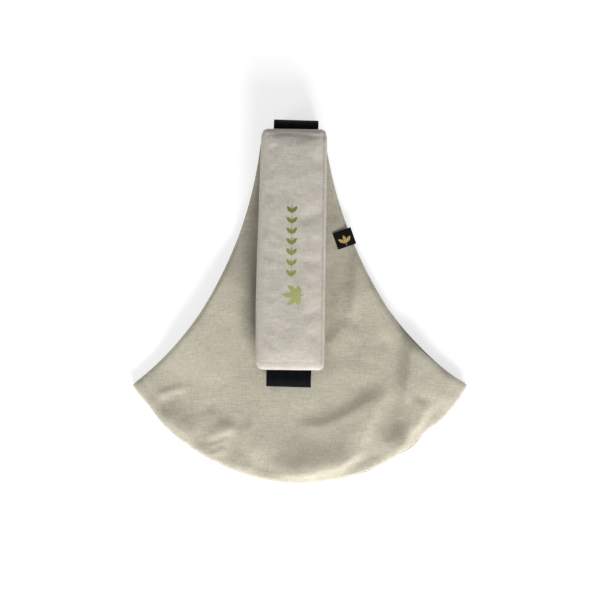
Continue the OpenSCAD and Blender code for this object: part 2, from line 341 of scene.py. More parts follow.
@dataclass(frozen=True)
class WebbingFinish:
    """Black woven webbing: chevron ribs that follow the strap, with painted shade in their troughs and a painted
    highlight on their crests, and plain selvedges.
    """

    name: str
    colour: Colour = (0.0016, 0.0022, 0.0034)
    rib: float = 1.5 * MM
    chevron: float = 6.3 * MM
    yarn: float = 0.9 * MM

    def make(self) -> Finish:
        """Returns the material."""
        dye = Dye(self.name)
        across, along = (dye.part(dye.coords("UV"), k) for k in (0, 1))
        slant = dye.math("ADD", along, dye.math("PINGPONG", across, self.chevron))
        ribs = dye.math("SINE", dye.math("MULTIPLY", slant, 2 * math.pi / self.rib))
        yarn = dye.math("SINE", dye.math("MULTIPLY", across, 2 * math.pi / self.yarn))
        height = dye.math("ADD", dye.math("MULTIPLY", ribs, 0.5), dye.math("MULTIPLY", yarn, 0.25))
        dye.relief(height, 0.22 * MM, 0.8)
        fuzz = dye.shades(dye.noise(dye.coords(), 1400.0, 2.0), self.colour, 1.0, 2.0)
        # painted shade and highlight: the colour darkens in the rib troughs and lightens on the crests
        dye.colour(dye.multiply(fuzz, dye.blend(ribs, 0.75, 1.15, 0.1, 0.9)))
        dye.surface(Roughness=0.6, Specular_IOR_Level=0.04, Sheen_Weight=0.0)
        return dye.material


@dataclass(frozen=True)
class PlasticFinish:
    """Moulded acetal with a fine spark-eroded grain."""

    name: str
    colour: Colour = (0.014, 0.014, 0.016)

    def make(self) -> Finish:
        """Returns the material."""
        dye = Dye(self.name)
        at = dye.coords()
        dye.relief(dye.noise(at, 2600.0, 3.0), 0.05 * MM, 0.5)
        dye.colour(dye.shades(dye.noise(at, 120.0), self.colour, 1.0, 1.5))
        dye.surface(Roughness=0.42, Specular_IOR_Level=0.5)
        return dye.material


@dataclass(frozen=True)
class SatinFinish:
    """Tightly woven label tape or embroidery thread: fine ribs along one axis, with painted shade between them."""

    name: str
    colour: Colour
    rib: float = 0.5 * MM
    axis: str = "Y"
    turn: float = 0.0
    gloss: float = 0.45
    shine: float = 0.4

    def make(self) -> Finish:
        """Returns the material."""
        dye = Dye(self.name)
        at = dye.mapped(dye.coords(), (1, 1, 1), self.turn)
        ribs = dye.wave(at, self.axis, self.rib, 0.3)
        dye.relief(ribs, 0.12 * MM, 0.7)
        tone = dye.shades(dye.noise(at, 700.0), self.colour, 0.75, 1.2)
        # painted shade: the colour darkens between the ribs
        dye.colour(dye.multiply(tone, dye.blend(ribs, 0.7, 1.0, 0.1, 0.7)))
        dye.surface(Roughness=self.gloss, Specular_IOR_Level=self.shine)
        return dye.material


@dataclass(frozen=True)
class PileFinish:
    """Touch tape: hooks or loops as a dense fuzzy grain."""

    name: str
    colour: Colour
    grain: float

    def make(self) -> Finish:
        """Returns the material."""
        dye = Dye(self.name)
        at = dye.coords()
        pile = dye.noise(at, self.grain, 4.0)
        rows = dye.wave(at, "Y", 1.6 * MM, 1.5)
        dye.relief(dye.math("ADD", pile, dye.math("MULTIPLY", rows, 0.4)), 0.6 * MM, 0.9)
        dye.colour(dye.shades(pile, self.colour, 0.6, 1.4))
        dye.surface(Roughness=0.9, Specular_IOR_Level=0.2, Sheen_Weight=0.25)
        return dye.material


@dataclass(frozen=True)
class InkFinish:
    """Screen-printed ink over the weave, running from a low to a high tone along its CAD node."""

    name: str
    low: Colour
    high: Colour
    node: str
    pitch: float = 0.85 * MM

    def make(self) -> Finish:
        """Returns the material."""
        dye = Dye(self.name)
        at = dye.coords()
        dye.relief(dye.weave(at, self.pitch), 0.12 * MM, 0.6)
        start, end = (corner.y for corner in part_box(self.node))
        share = dye.math("DIVIDE", dye.math("SUBTRACT", dye.part(at, 1), start), end - start)
        tone = dye.blend(share, self.low, self.high, 0.0, 1.0)
        worn = dye.blend(dye.noise(at, 1500.0, 3.0), 0.82, 1.25, 0.35, 0.75)
        dye.colour(dye.multiply(tone, worn))
        dye.surface(Roughness=0.85, Specular_IOR_Level=0.2)
        return dye.material


@dataclass(frozen=True)
class FloorFinish:
    """Plain pale studio floor, whose glow rises between near and far to meet the room's."""

    name: str = "studio_floor"
    colour: Colour = (0.42, 0.42, 0.42)
    glow: float = 0.66
    far_glow: float = 0.90
    near: float = 0.5
    far: float = 3.0

    def make(self) -> Finish:
        """Returns the material."""
        dye = Dye(self.name)
        dye.colour(dye.shades(dye.noise(dye.coords(), 2.0), self.colour, 1.0, 1.005))
        dye.surface(Roughness=1.0, Specular_IOR_Level=0.0, Emission_Strength=1.0)
        away = dye.math("DIVIDE", dye.length(dye.coords()), 2 * self.far)
        glow = dye.blend(away, self.glow, self.far_glow, self.near / self.far / 2, 0.5)
        dye.links.new(glow, dye.shader.inputs["Emission Color"])
        return dye.material


# ---------------------------------------------------------------- the bench


class Bench:
    """The moves that every piece is made with."""

    @staticmethod
    def clear() -> None:
        """Leaves nothing selected, in object mode."""
        if bpy.context.object is not None and bpy.context.object.mode != "OBJECT":
            bpy.ops.object.mode_set(mode="OBJECT")
        bpy.ops.object.select_all(action="DESELECT")

    @staticmethod
    def pick(obj: Item) -> None:
        """Makes obj the only selected and the active object."""
        Bench.clear()
        obj.select_set(True)
        bpy.context.view_layer.objects.active = obj

    @staticmethod
    def size(node: str) -> Vector:
        """Returns the size of a CAD node's box."""
        low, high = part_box(node)
        return high - low

    @staticmethod
    def points(obj: Item) -> Array:
        """Returns the mesh's vertices as rows."""
        co = np.zeros(len(obj.data.vertices) * 3, np.float32)
        obj.data.vertices.foreach_get("co", co)
        return co.reshape(-1, 3).astype(float)

    @staticmethod
    def move(obj: Item, co: Array) -> None:
        """Puts the mesh's vertices at co."""
        obj.data.vertices.foreach_set("co", np.asarray(co, np.float32).ravel())
        obj.data.update()

    @staticmethod
    def grid(name: str, columns: int, rows: int, place: Place) -> Item:
        """Returns a grid of faces whose unit square is laid out by place.

        Args:
            name: the piece's name.
            columns: faces across.
            rows: faces along.
            place: where a point of the unit square goes.

        Returns:
            The new object, at the origin.
        """
        Bench.clear()
        bpy.ops.mesh.primitive_grid_add(x_subdivisions=columns, y_subdivisions=rows, size=1.0, location=(0, 0, 0))
        obj = bpy.context.object
        obj.name = obj.data.name = name
        co = Bench.points(obj)
        Bench.move(obj, place(co[:, 0] + 0.5, co[:, 1] + 0.5))
        return obj

    @staticmethod
    def edit(obj: Item, operator: Callable[..., set], **settings: object) -> None:
        """Runs an edit-mode operator on the whole mesh.

        Args:
            obj: the object.
            operator: what is done to it.
            settings: the operator's settings by name.
        """
        Bench.pick(obj)
        bpy.ops.object.mode_set(mode="EDIT")
        bpy.ops.mesh.select_all(action="SELECT")
        operator(**settings)
        bpy.ops.object.mode_set(mode="OBJECT")

    @staticmethod
    def thicken(obj: Item, floor: Floor) -> Array:
        """Extrudes an open sheet into a closed piece.

        Args:
            obj: the sheet.
            floor: gives the lower face's height from the upper face's X, Y and Z.

        Returns:
            Which vertices are the lower ones.
        """
        Bench.edit(obj, bpy.ops.mesh.extrude_region_move, TRANSFORM_OT_translate={"value": (0, 0, -MM)})
        low = np.zeros(len(obj.data.vertices), bool)
        obj.data.vertices.foreach_get("select", low)
        co = Bench.points(obj)
        x, y, z = co[low].T
        co[low, 2] = floor(x, y, z + MM)
        Bench.move(obj, co)
        Bench.outward(obj)
        return low

    @staticmethod
    def slab(name: str, columns: int, rows: int, place: Place, floor: Floor) -> Item:
        """Returns a closed sheet with its upper face at place and its lower one at floor."""
        obj = Bench.grid(name, columns, rows, place)
        Bench.thicken(obj, floor)
        return obj

    @staticmethod
    def outward(obj: Item) -> None:
        """Turns every face outward."""
        Bench.edit(obj, bpy.ops.mesh.normals_make_consistent, inside=False)

    @staticmethod
    def apply(obj: Item, kind: str, **settings: object) -> None:
        """Adds a modifier of that kind with its settings, and applies it.

        Args:
            obj: the object.
            kind: the modifier's type.
            settings: its settings by name.
        """
        Bench.pick(obj)
        modifier = obj.modifiers.new(kind.lower(), kind)
        for name, value in settings.items():
            setattr(modifier, name, value)
        bpy.ops.object.modifier_apply(modifier=modifier.name)

    @staticmethod
    def link(name: str, data: bpy.types.ID) -> Item:
        """Adds an object that holds the data to the scene."""
        obj = bpy.data.objects.new(name, data)
        bpy.context.scene.collection.objects.link(obj)
        return obj

    @staticmethod
    def copies(name: str, model: Item, places: Sequence[Array]) -> Item:
        """Joins copies of a small model into one piece and removes the model.

        Args:
            name: the piece's name.
            model: what is copied.
            places: the points of each copy.

        Returns:
            The joined piece.
        """
        count = len(model.data.vertices)
        faces = [tuple(p.vertices) for p in model.data.polygons]
        mesh = bpy.data.meshes.new(name)
        every = [tuple(i + k * count for i in f) for k in range(len(places)) for f in faces]
        mesh.from_pydata([tuple(map(float, p)) for p in np.concatenate(places)], [], every)
        mesh.update()
        obj = Bench.link(name, mesh)
        bpy.data.objects.remove(model)
        return obj

    @staticmethod
    def smooth(obj: Item, degrees: float = 50.0) -> None:
        """Shades the piece smooth, apart from edges sharper than an angle."""
        Bench.pick(obj)
        bpy.ops.object.shade_smooth_by_angle(angle=math.radians(degrees))

    @staticmethod
    def dress(obj: Item, finish: Finish, slot: str) -> None:
        """Gives a piece its finish."""
        obj.data.materials.clear()
        obj.data.materials.append(finish)

    @staticmethod
    def settle(obj: Item, finish: Finish, slot: str, body: str, *nodes: str, degrees: float = 50.0) -> Item:
        """Finishes a piece, hides the CAD nodes it replaces and parents it to its body.

        Args:
            obj: the piece.
            finish: its material.
            slot: the record's slot, not used.
            body: the body it rides.
            nodes: the CAD nodes it replaces.
            degrees: how sharp an edge has to be to show.

        Returns:
            The piece.
        """
        Bench.smooth(obj, degrees)
        Bench.dress(obj, finish, slot)
        if nodes:
            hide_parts(*nodes)
        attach(obj, body)
        return obj

    @staticmethod
    def tree(obj: Item) -> BVHTree:
        """Returns a search tree of the piece's faces."""
        vertices = [v.co.copy() for v in obj.data.vertices]
        return BVHTree.FromPolygons(vertices, [tuple(p.vertices) for p in obj.data.polygons])

    @staticmethod
    def on_top(tree: BVHTree, x: Array, y: Array, fallback: float) -> Array:
        """Returns the height of a piece's upper face at each point, or fallback beside it.

        Args:
            tree: the piece's faces.
            x: the points' X.
            y: the points' Y.
            fallback: the height beside the piece.

        Returns:
            A height for each point.
        """
        out = np.full(len(x), fallback, float)
        for i, (a, b) in enumerate(zip(x, y)):
            hit = tree.ray_cast(Vector((float(a), float(b), 1.0)), Vector((0, 0, -1)))
            if hit[0] is not None:
                out[i] = hit[0].z
        return out


# ---------------------------------------------------------------- places


@dataclass(frozen=True)
class Lay:
    """How a part lies on the surface: u across it and v along it, turned from the Y axis."""

    tilt: float

    def world(self, u: Array, v: Array) -> tuple[Array, Array]:
        """Returns X and Y of a point given across and along."""
        c, s = math.cos(self.tilt), math.sin(self.tilt)
        return u * c + v * s, -u * s + v * c

    def local(self, x: Array, y: Array) -> tuple[Array, Array]:
        """Returns a point's place across and along from its X and Y."""
        c, s = math.cos(self.tilt), math.sin(self.tilt)
        return x * c - y * s, x * s + y * c


@dataclass(frozen=True)
class Span:
    """The box of some CAD nodes in their own lay."""

    lay: Lay
    u0: float
    u1: float
    v0: float
    v1: float
    z0: float
    z1: float

    @classmethod
    def of(cls, lay: Lay, *nodes: str) -> "Span":
        """Returns the span of some nodes by name."""
        co = np.concatenate([Bench.points(frame["nodes"][n]) for n in nodes])
        sides = (*lay.local(co[:, 0], co[:, 1]), co[:, 2])
        return cls(lay, *(end for side in sides for end in (side.min(), side.max())))

    @property
    def middle(self) -> float:
        """The centre line across."""
        return (self.u0 + self.u1) / 2

    @property
    def level(self) -> float:
        """The height of the middle."""
        return (self.z0 + self.z1) / 2

    @property
    def width(self) -> float:
        """The width across."""
        return self.u1 - self.u0

    @property
    def length(self) -> float:
        """The length along."""
        return self.v1 - self.v0

    @property
    def rise(self) -> float:
        """The thickness."""
        return self.z1 - self.z0

    def corner(self, u: float, v: float, z: float) -> tuple[float, float, float]:
        """Returns a point of the lay in the row frame."""
        x, y = self.lay.world(u, v)
        return float(x), float(y), float(z)


def joint(name: str) -> dict:
    """Returns a joint of the frame by name."""
    return next(j for j in frame["joints"] if j["name"] == name)


def lay_along(name: str) -> Lay:
    """Returns the lay whose v axis is a sliding joint's axis."""
    axis = joint(name)["axis"]
    return Lay(math.atan2(axis[0], axis[1]))


STRAP = lay_along("pad_slide")
PAD = Lay(math.atan2(-joint("pad_open")["axis"][0], -joint("pad_open")["axis"][1]))
TAB = Lay(math.atan2(-joint("label_flip")["axis"][1], joint("label_flip")["axis"][0]))


# Where the seat edge is pulled: how far along it from the left, how far in (minus is out) in
# millimetres, and how wide the pull is. The first is the sag of the whole seat.
SEAT_PULLS = (
    (0.530, -4.4, 0.260),
    (0.065, 2.4, 0.040),
    (0.205, 1.0, 0.007),
    (0.290, 0.9, 0.008),
    (0.465, -0.8, 0.006),
    (0.560, 0.8, 0.030),
    (0.755, 1.0, 0.012),
    (0.845, 3.4, 0.030),
)


@dataclass(frozen=True)
class Outline:
    """The four edges of a pouch panel, each a line of points."""

    left: Array
    right: Array
    seat: Array
    top: Array

    @classmethod
    def of(cls, node: str) -> "Outline":
        """Reads the edges off a CAD panel, and pulls the seat edge in or out.

        Args:
            node: the panel's name.

        Returns:
            Its outline.
        """
        co = np.unique(np.round(Bench.points(frame["nodes"][node])[:, :2], 6), axis=0)
        a, b = co[co[:, 0].argmin()], co[co[:, 0].argmax()]
        high = co[:, 1].max()
        top = co[co[:, 1] > high - 1e-5]
        c, d = top[top[:, 0].argmin()], top[top[:, 0].argmax()]
        rest = co[co[:, 1] < high - 1e-5]
        sill = a[1] + (b[1] - a[1]) * (rest[:, 0] - a[0]) / (b[0] - a[0])
        upper = rest[rest[:, 1] > sill + 1e-5]
        left, right = upper[upper[:, 0] < 0], upper[upper[:, 0] > 0]
        left = np.array([a, *left[left[:, 1].argsort()], c])
        right = np.array([b, *right[right[:, 1].argsort()], d])
        seat = rest[rest[:, 1] <= sill + 1e-5]
        seat = seat[(seat[:, 0] > a[0]) & (seat[:, 0] < b[0])]
        seat = np.array([a, *seat[seat[:, 0].argsort()], b])
        share = np.linspace(0, 1, 400)
        line = cls.at(seat, share)
        inward = np.array([0.0, b[1] + 0.03]) - line
        inward /= np.linalg.norm(inward, axis=1)[:, None]
        pull = sum(depth * MM * bell(share - at, wide) for at, depth, wide in SEAT_PULLS)
        return cls(left, right, line + inward * pull[:, None], np.array([c, d]))

    @staticmethod
    def at(line: Array, share: Array) -> Array:
        """Returns points at shares of a line's length."""
        run = np.concatenate([[0], np.cumsum(np.linalg.norm(np.diff(line, axis=0), axis=1))])
        run /= run[-1]
        return stack(*(np.interp(share, run, line[:, k]) for k in (0, 1)))

    def patch(self, s: Array, t: Array) -> tuple[Array, Array]:
        """Returns X and Y of points across (s) and up (t) the panel.

        Args:
            s: how far across, from 0 to 1.
            t: how far up from the seat, from 0 to 1.

        Returns:
            X and Y of the points.
        """
        low, high = self.at(self.seat, s), self.at(self.top, s)
        left, right = self.at(self.left, t), self.at(self.right, t)
        s2, t2 = s[:, None], t[:, None]
        a, b, c, d = self.seat[0], self.seat[-1], self.top[0], self.top[1]
        corners = (1 - s2) * (1 - t2) * a + s2 * (1 - t2) * b + (1 - s2) * t2 * c + s2 * t2 * d
        xy = (1 - t2) * low + t2 * high + (1 - s2) * left + s2 * right - corners
        for corner, pull in ((a, (1.0, 0.05)), (b, (-1.0, 0.05))):
            near = bell(np.linalg.norm(xy - corner, axis=1), 6 * MM)
            xy = xy + near[:, None] * np.array(pull) * 0.8 * MM
        return xy[:, 0], xy[:, 1]

    def span(self, t: Array) -> Array:
        """Returns the panel's width at each height t."""
        return np.linalg.norm(self.at(self.right, t) - self.at(self.left, t), axis=1)

    def share_at(self, side: Side, y: float) -> float:
        """Returns how far up a leg edge a height is, from 0 to 1."""
        line = self.left if side is Side.LEFT else self.right
        share = np.linspace(0, 1, 400)
        return float(np.interp(y, self.at(line, share)[:, 1], share))


def path_length(line: Array) -> float:
    """Returns the length of a line of points."""
    return float(np.linalg.norm(np.diff(line, axis=0), axis=1).sum())


def distance(line: Array, x: Array, y: Array) -> tuple[Array, Array, Array]:
    """Measures points from a line.

    Args:
        line: the line's points.
        x: the points' X.
        y: the points' Y.

    Returns:
        How far off each point is, its side of the line (1 is the left), and how far
        along the line its nearest place is, from 0 to 1.
    """
    p = stack(x, y)
    best = np.full(len(p), 1e9)
    side = np.ones(len(p))
    along = np.zeros(len(p))
    steps = np.linalg.norm(np.diff(line, axis=0), axis=1)
    run = np.concatenate([[0], np.cumsum(steps)])
    for i, (a, b) in enumerate(zip(line[:-1], line[1:])):
        d = b - a
        t = np.clip(((p - a) @ d) / max(d @ d, 1e-12), 0, 1)
        gap = p - (a + t[:, None] * d)
        away = np.hypot(gap[:, 0], gap[:, 1])
        near = away < best
        cross = d[0] * (p[:, 1] - a[1]) - d[1] * (p[:, 0] - a[0])
        best = np.where(near, away, best)
        side = np.where(near, np.where(cross > 0, 1.0, -1.0), side)
        along = np.where(near, (run[i] + t * steps[i]) / run[-1], along)
    return best, side, along


# ---------------------------------------------------------------- the lie of the cloth


@dataclass(frozen=True)
class Fold:
    """A ridge or crease: its line and rise, and how far it spreads to each side, in millimetres."""

    line: tuple[tuple[float, float], ...]
    rise: float
    left: float
    right: float

    def height(self, x: Array, y: Array) -> Array:
        """Returns how much the fold lifts each point.

        Args:
            x: the points' X.
            y: the points' Y.

        Returns:
            The lift of each point.
        """
        away, side, along = distance(np.array(self.line) * MM, x, y)
        reach = np.where(side > 0, self.left, self.right) * MM
        ends = smoothstep(along / 0.34) * smoothstep((1 - along) / 0.34)
        return self.rise * MM * bell(away, reach) * ends


@dataclass(frozen=True)
class Ripple:
    """Gentle unevenness of laid cloth: many faint waves in all directions."""

    rise: float
    shortest: float
    longest: float
    seed: int
    count: int = 36

    def height(self, x: Array, y: Array) -> Array:
        """Returns how much the ripples lift each point.

        Args:
            x: the points' X.
            y: the points' Y.

        Returns:
            The lift of each point.
        """
        rng = np.random.default_rng(self.seed)
        angle = rng.uniform(0, 2 * math.pi, self.count)
        length = rng.uniform(self.shortest, self.longest, self.count) * MM
        phase = rng.uniform(0, 2 * math.pi, self.count)
        out = np.zeros(len(x))
        for a, l, p in zip(angle, length, phase):
            out += np.sin((x * math.cos(a) + y * math.sin(a)) * 2 * math.pi / l + p)
        return out * self.rise * MM / math.sqrt(self.count / 2)


# The front panel's folds, from the big ones to the small ones of each side.
FRONT_FOLDS = (
    # the ridge that falls from the strap to the seat on the right, and its broad foot
    Fold(((132, -20), (130, -60), (126, -90), (125, -116), (120, -146)), 12.0, 30, 11),
    Fold(((131, -8), (129, -50), (125, -100), (118, -140)), 3.0, 34, 30),
    # the folds that fan out over the seat, left and right of it
    Fold(((102, -94), (90, -116), (79, -138), (70, -160), (60, -186)), 3.8, 8, 18),
    Fold(((-40, -200), (6, -199), (42, -192), (80, -166)), 9.0, 24, 7),
    Fold(((-16, -149), (24, -148), (52, -138), (76, -121), (106, -108)), 4.4, 11, 60),
    Fold(((148, -114), (136, -137), (120, -163), (104, -192)), 13.0, 7, 19),
    Fold(((138, -108), (135, -130), (132, -158)), 4.4, 9, 8),
    Fold(((177, -70), (171, -98), (167, -130)), 3.4, 14, 12),
    # the creases beside and below the end of the pad
    Fold(((64, 66), (65, 32), (64, 0), (59, -26)), 3.4, 11, 8),
    Fold(((74, 40), (86, 0), (98, -32), (112, -60)), 2.6, 12, 7),
    Fold(((26, -58), (42, -44), (62, -22)), 2.4, 11, 16),
    # the long swell along the left leg edge, and the puckers of the left of the seat
    Fold(((-176, -84), (-130, -28), (-88, 22), (-70, 70)), 7.4, 12, 50),
    Fold(((-172, -113), (-149, -105), (-125, -98)), 2.2, 5, 5),
    Fold(((-166, -124), (-143, -144), (-114, -162)), 3.4, 13, 6),
    Fold(((-112, -161), (-94, -155), (-70, -144)), 3.4, 12, 4.5),
    Fold(((-110, -171), (-96, -166), (-78, -158)), 2.0, 4, 4),
    Fold(((-106, -180), (-96, -175), (-84, -170)), 1.9, 4, 3.5),
    Fold(((-84, -184), (-62, -194), (-50, -186)), 2.6, 13, 6),
    Fold(((-64, -134), (-58, -160), (-48, -188)), 1.8, 9, 12),
    Fold(((-108, -122), (-92, -146), (-84, -154)), 1.6, 8, 12),
)


@dataclass(frozen=True)
class PouchLie:
    """The height of every layer of the pouch, laid flat on its back."""

    outline: Outline = field(default_factory=lambda: Outline.of("front_panel_outer"))
    top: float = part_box("front_panel_outer")[1].z
    middle: float = (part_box("front_panel_outer")[1].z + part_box("back_panel_outer")[0].z) / 2
    ply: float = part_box("front_panel_outer")[1].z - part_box("front_panel_outer")[0].z
    lining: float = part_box("front_panel_lining")[1].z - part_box("front_panel_lining")[0].z
    back_top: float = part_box("back_panel_outer")[1].z
    band: float = 10.0 * MM
    band_rise: float = 0.5 * MM
    band_dip: float = 0.3 * MM
    leg_drop: float = 2.0 * MM
    lowest: float = -2.6 * MM
    highest: float = 15 * MM
    roll: float = 3.0 * MM
    ripples: tuple[Ripple, ...] = (Ripple(0.45, 55, 120, 3), Ripple(0.12, 18, 40, 5), Ripple(0.03, 6, 12, 8))

    def seat_gap(self, x: Array, y: Array) -> Array:
        """Returns how far each point is from the seat seam."""
        return distance(self.outline.seat, x, y)[0]

    def leg_gap(self, x: Array, y: Array) -> Array:
        """Returns how far each point is from the nearer leg edge."""
        return np.minimum(distance(self.outline.left, x, y)[0], distance(self.outline.right, x, y)[0])

    def under_strap(self, x: Array, y: Array) -> Array:
        """Returns 1 where the strap lies on the front panel, falling to 0 beside it.

        Args:
            x: the points' X.
            y: the points' Y.

        Returns:
            The share for each point.
        """
        u, v = STRAP.local(x, y)
        web = Span.of(STRAP, "webbing_inner_run")
        across = smoothstep((web.width / 2 + 22 * MM - np.abs(u - web.middle)) / (16 * MM))
        return across * smoothstep((v - web.v0 + 26 * MM) / (20 * MM))

    def curl(self, seat: Array) -> Array:
        """Returns how far the cloth has rolled out of the seat seam, from 0 to 1."""
        return np.sqrt(np.clip(1 - (1 - np.clip(seat / self.roll, 0, 1)) ** 2, 0, 1))

    def front(self, x: Array, y: Array) -> Array:
        """Returns the height of the front panel's face.

        Args:
            x: the points' X.
            y: the points' Y.

        Returns:
            The height of each point.
        """
        lift = sum(r.height(x, y) for r in self.ripples)
        lift += sum(f.height(x, y) for f in FRONT_FOLDS)
        seat, leg = self.seat_gap(x, y), self.leg_gap(x, y)
        uneven = 0.7 + 0.6 * np.sin(x / (17 * MM)) * np.sin(x / (31 * MM) + 1.0)
        ridge = smoothstep((seat - 0.5 * MM) / (3 * MM)) * smoothstep((self.band - seat) / (3.5 * MM) + 0.5)
        lift += ridge * self.band_rise * uneven
        lift -= bell(seat - self.band - 3.5 * MM, 3 * MM) * self.band_dip * uneven
        lift -= bell(leg, 2.6 * MM) * self.leg_drop
        free = 1 - 0.9 * self.under_strap(x, y)
        z = self.top + np.clip(lift * free, self.lowest, self.highest)
        return self.middle + (z - self.middle) * (0.06 + 0.94 * self.curl(seat))

    def back(self, x: Array, y: Array) -> Array:
        """Returns the height of the back panel's inner face.

        Args:
            x: the points' X.
            y: the points' Y.

        Returns:
            The height of each point.
        """
        seat, leg = self.seat_gap(x, y), self.leg_gap(x, y)
        edge = bell(leg, 4 * MM) * 0.8 * MM
        flat = self.back_top + edge + Ripple(0.12, 30, 70, 12).height(x, y) * smoothstep(seat / (20 * MM))
        return self.middle + (flat - self.middle) * self.curl(seat)


# ---------------------------------------------------------------- sewing


@dataclass(frozen=True)
class Stitching:
    """A line of stitches laid on a surface."""

    name: str
    thread: Thread = Thread.TOPSTITCH

    def sew(
        self, lines: Sequence[Array], height: Height, finish: Finish, slot: str, body: str, *nodes: str
    ) -> Item:
        """Lays stitches along lines.

        Args:
            lines: each line's points in X and Y.
            height: the height of the cloth at a point.
            finish: the thread's material.
            slot: the record's slot, not used.
            body: the body they ride.
            nodes: the CAD nodes they replace.

        Returns:
            One object that holds all the stitches.
        """
        pitch, length, thick = (v * MM for v in self.thread.value)
        Bench.clear()
        bpy.ops.mesh.primitive_uv_sphere_add(segments=8, ring_count=5, radius=1.0, location=(0, 0, 0))
        model = bpy.context.object
        shape = Bench.points(model)
        shape = stack(shape[:, 2] * length / 2, shape[:, 0] * thick, shape[:, 1] * thick)
        middles, ways = [], []
        for line in lines:
            count = max(int(path_length(line) / pitch), 1)
            share = (np.arange(count) + 0.5) / count
            here = Outline.at(line, share)
            ahead = Outline.at(line, np.clip(share + 0.002, 0, 1)) - Outline.at(line, np.clip(share - 0.002, 0, 1))
            middles.append(here)
            ways.append(ahead / np.maximum(np.linalg.norm(ahead, axis=1), 1e-9)[:, None])
        middle, way = np.concatenate(middles), np.concatenate(ways)
        half = way * length * 0.4
        low = height(middle[:, 0] - half[:, 0], middle[:, 1] - half[:, 1])
        high = height(middle[:, 0] + half[:, 0], middle[:, 1] + half[:, 1])
        places = []
        for m, w, a, b in zip(middle, way, low, high):
            x = m[0] + shape[:, 0] * w[0] - shape[:, 1] * w[1]
            y = m[1] + shape[:, 0] * w[1] + shape[:, 1] * w[0]
            z = (a + b) / 2 + (b - a) * shape[:, 0] / (length * 0.8) + shape[:, 2] + thick * 0.25
            places.append(stack(x, y, z))
        return Bench.settle(Bench.copies(self.name, model, places), finish, slot, body, *nodes, degrees=60)


@dataclass(frozen=True)
class Ribbon:
    """A flat strap that follows a path along v and z."""

    name: str
    lay: Lay
    path: Array
    middle: float
    width: float
    thick: float
    step: float = 1.6 * MM
    across: int = 10
    edge: float = 0.45 * MM

    def build(self) -> Item:
        """Returns the ribbon as a closed mesh with a UV map in metres."""
        run = path_length(self.path)
        rows = max(int(run / self.step), 4)

        def place(s: Array, t: Array) -> Array:
            """Places points of the unit square."""
            along = Outline.at(self.path, t)
            x, y = self.lay.world(self.middle + (s - 0.5) * self.width, along[:, 0])
            return stack(x, y, along[:, 1])

        obj = Bench.grid(self.name, self.across, rows, place)
        uv = np.zeros(len(obj.data.loops) * 2, np.float32)
        obj.data.uv_layers[0].data.foreach_get("uv", uv)
        uv = uv.reshape(-1, 2) * np.array([self.width, run])
        obj.data.uv_layers[0].data.foreach_set("uv", uv.astype(np.float32).ravel())
        Bench.apply(obj, "SOLIDIFY", thickness=self.thick, offset=0.0, use_even_offset=True)
        Bench.apply(obj, "BEVEL", width=self.edge, segments=2, limit_method="ANGLE", angle_limit=math.radians(60))
        Bench.smooth(obj)
        return obj


def arc(
    v: float, z: float, rv: float, rz: float, start: float, end: float, count: int = 24
) -> list[tuple[float, float]]:
    """Returns points on an ellipse between two angles in degrees."""
    angles = np.radians(np.linspace(start, end, count))
    return [(v + rv * math.cos(a), z + rz * math.sin(a)) for a in angles]


# ---------------------------------------------------------------- the pouch


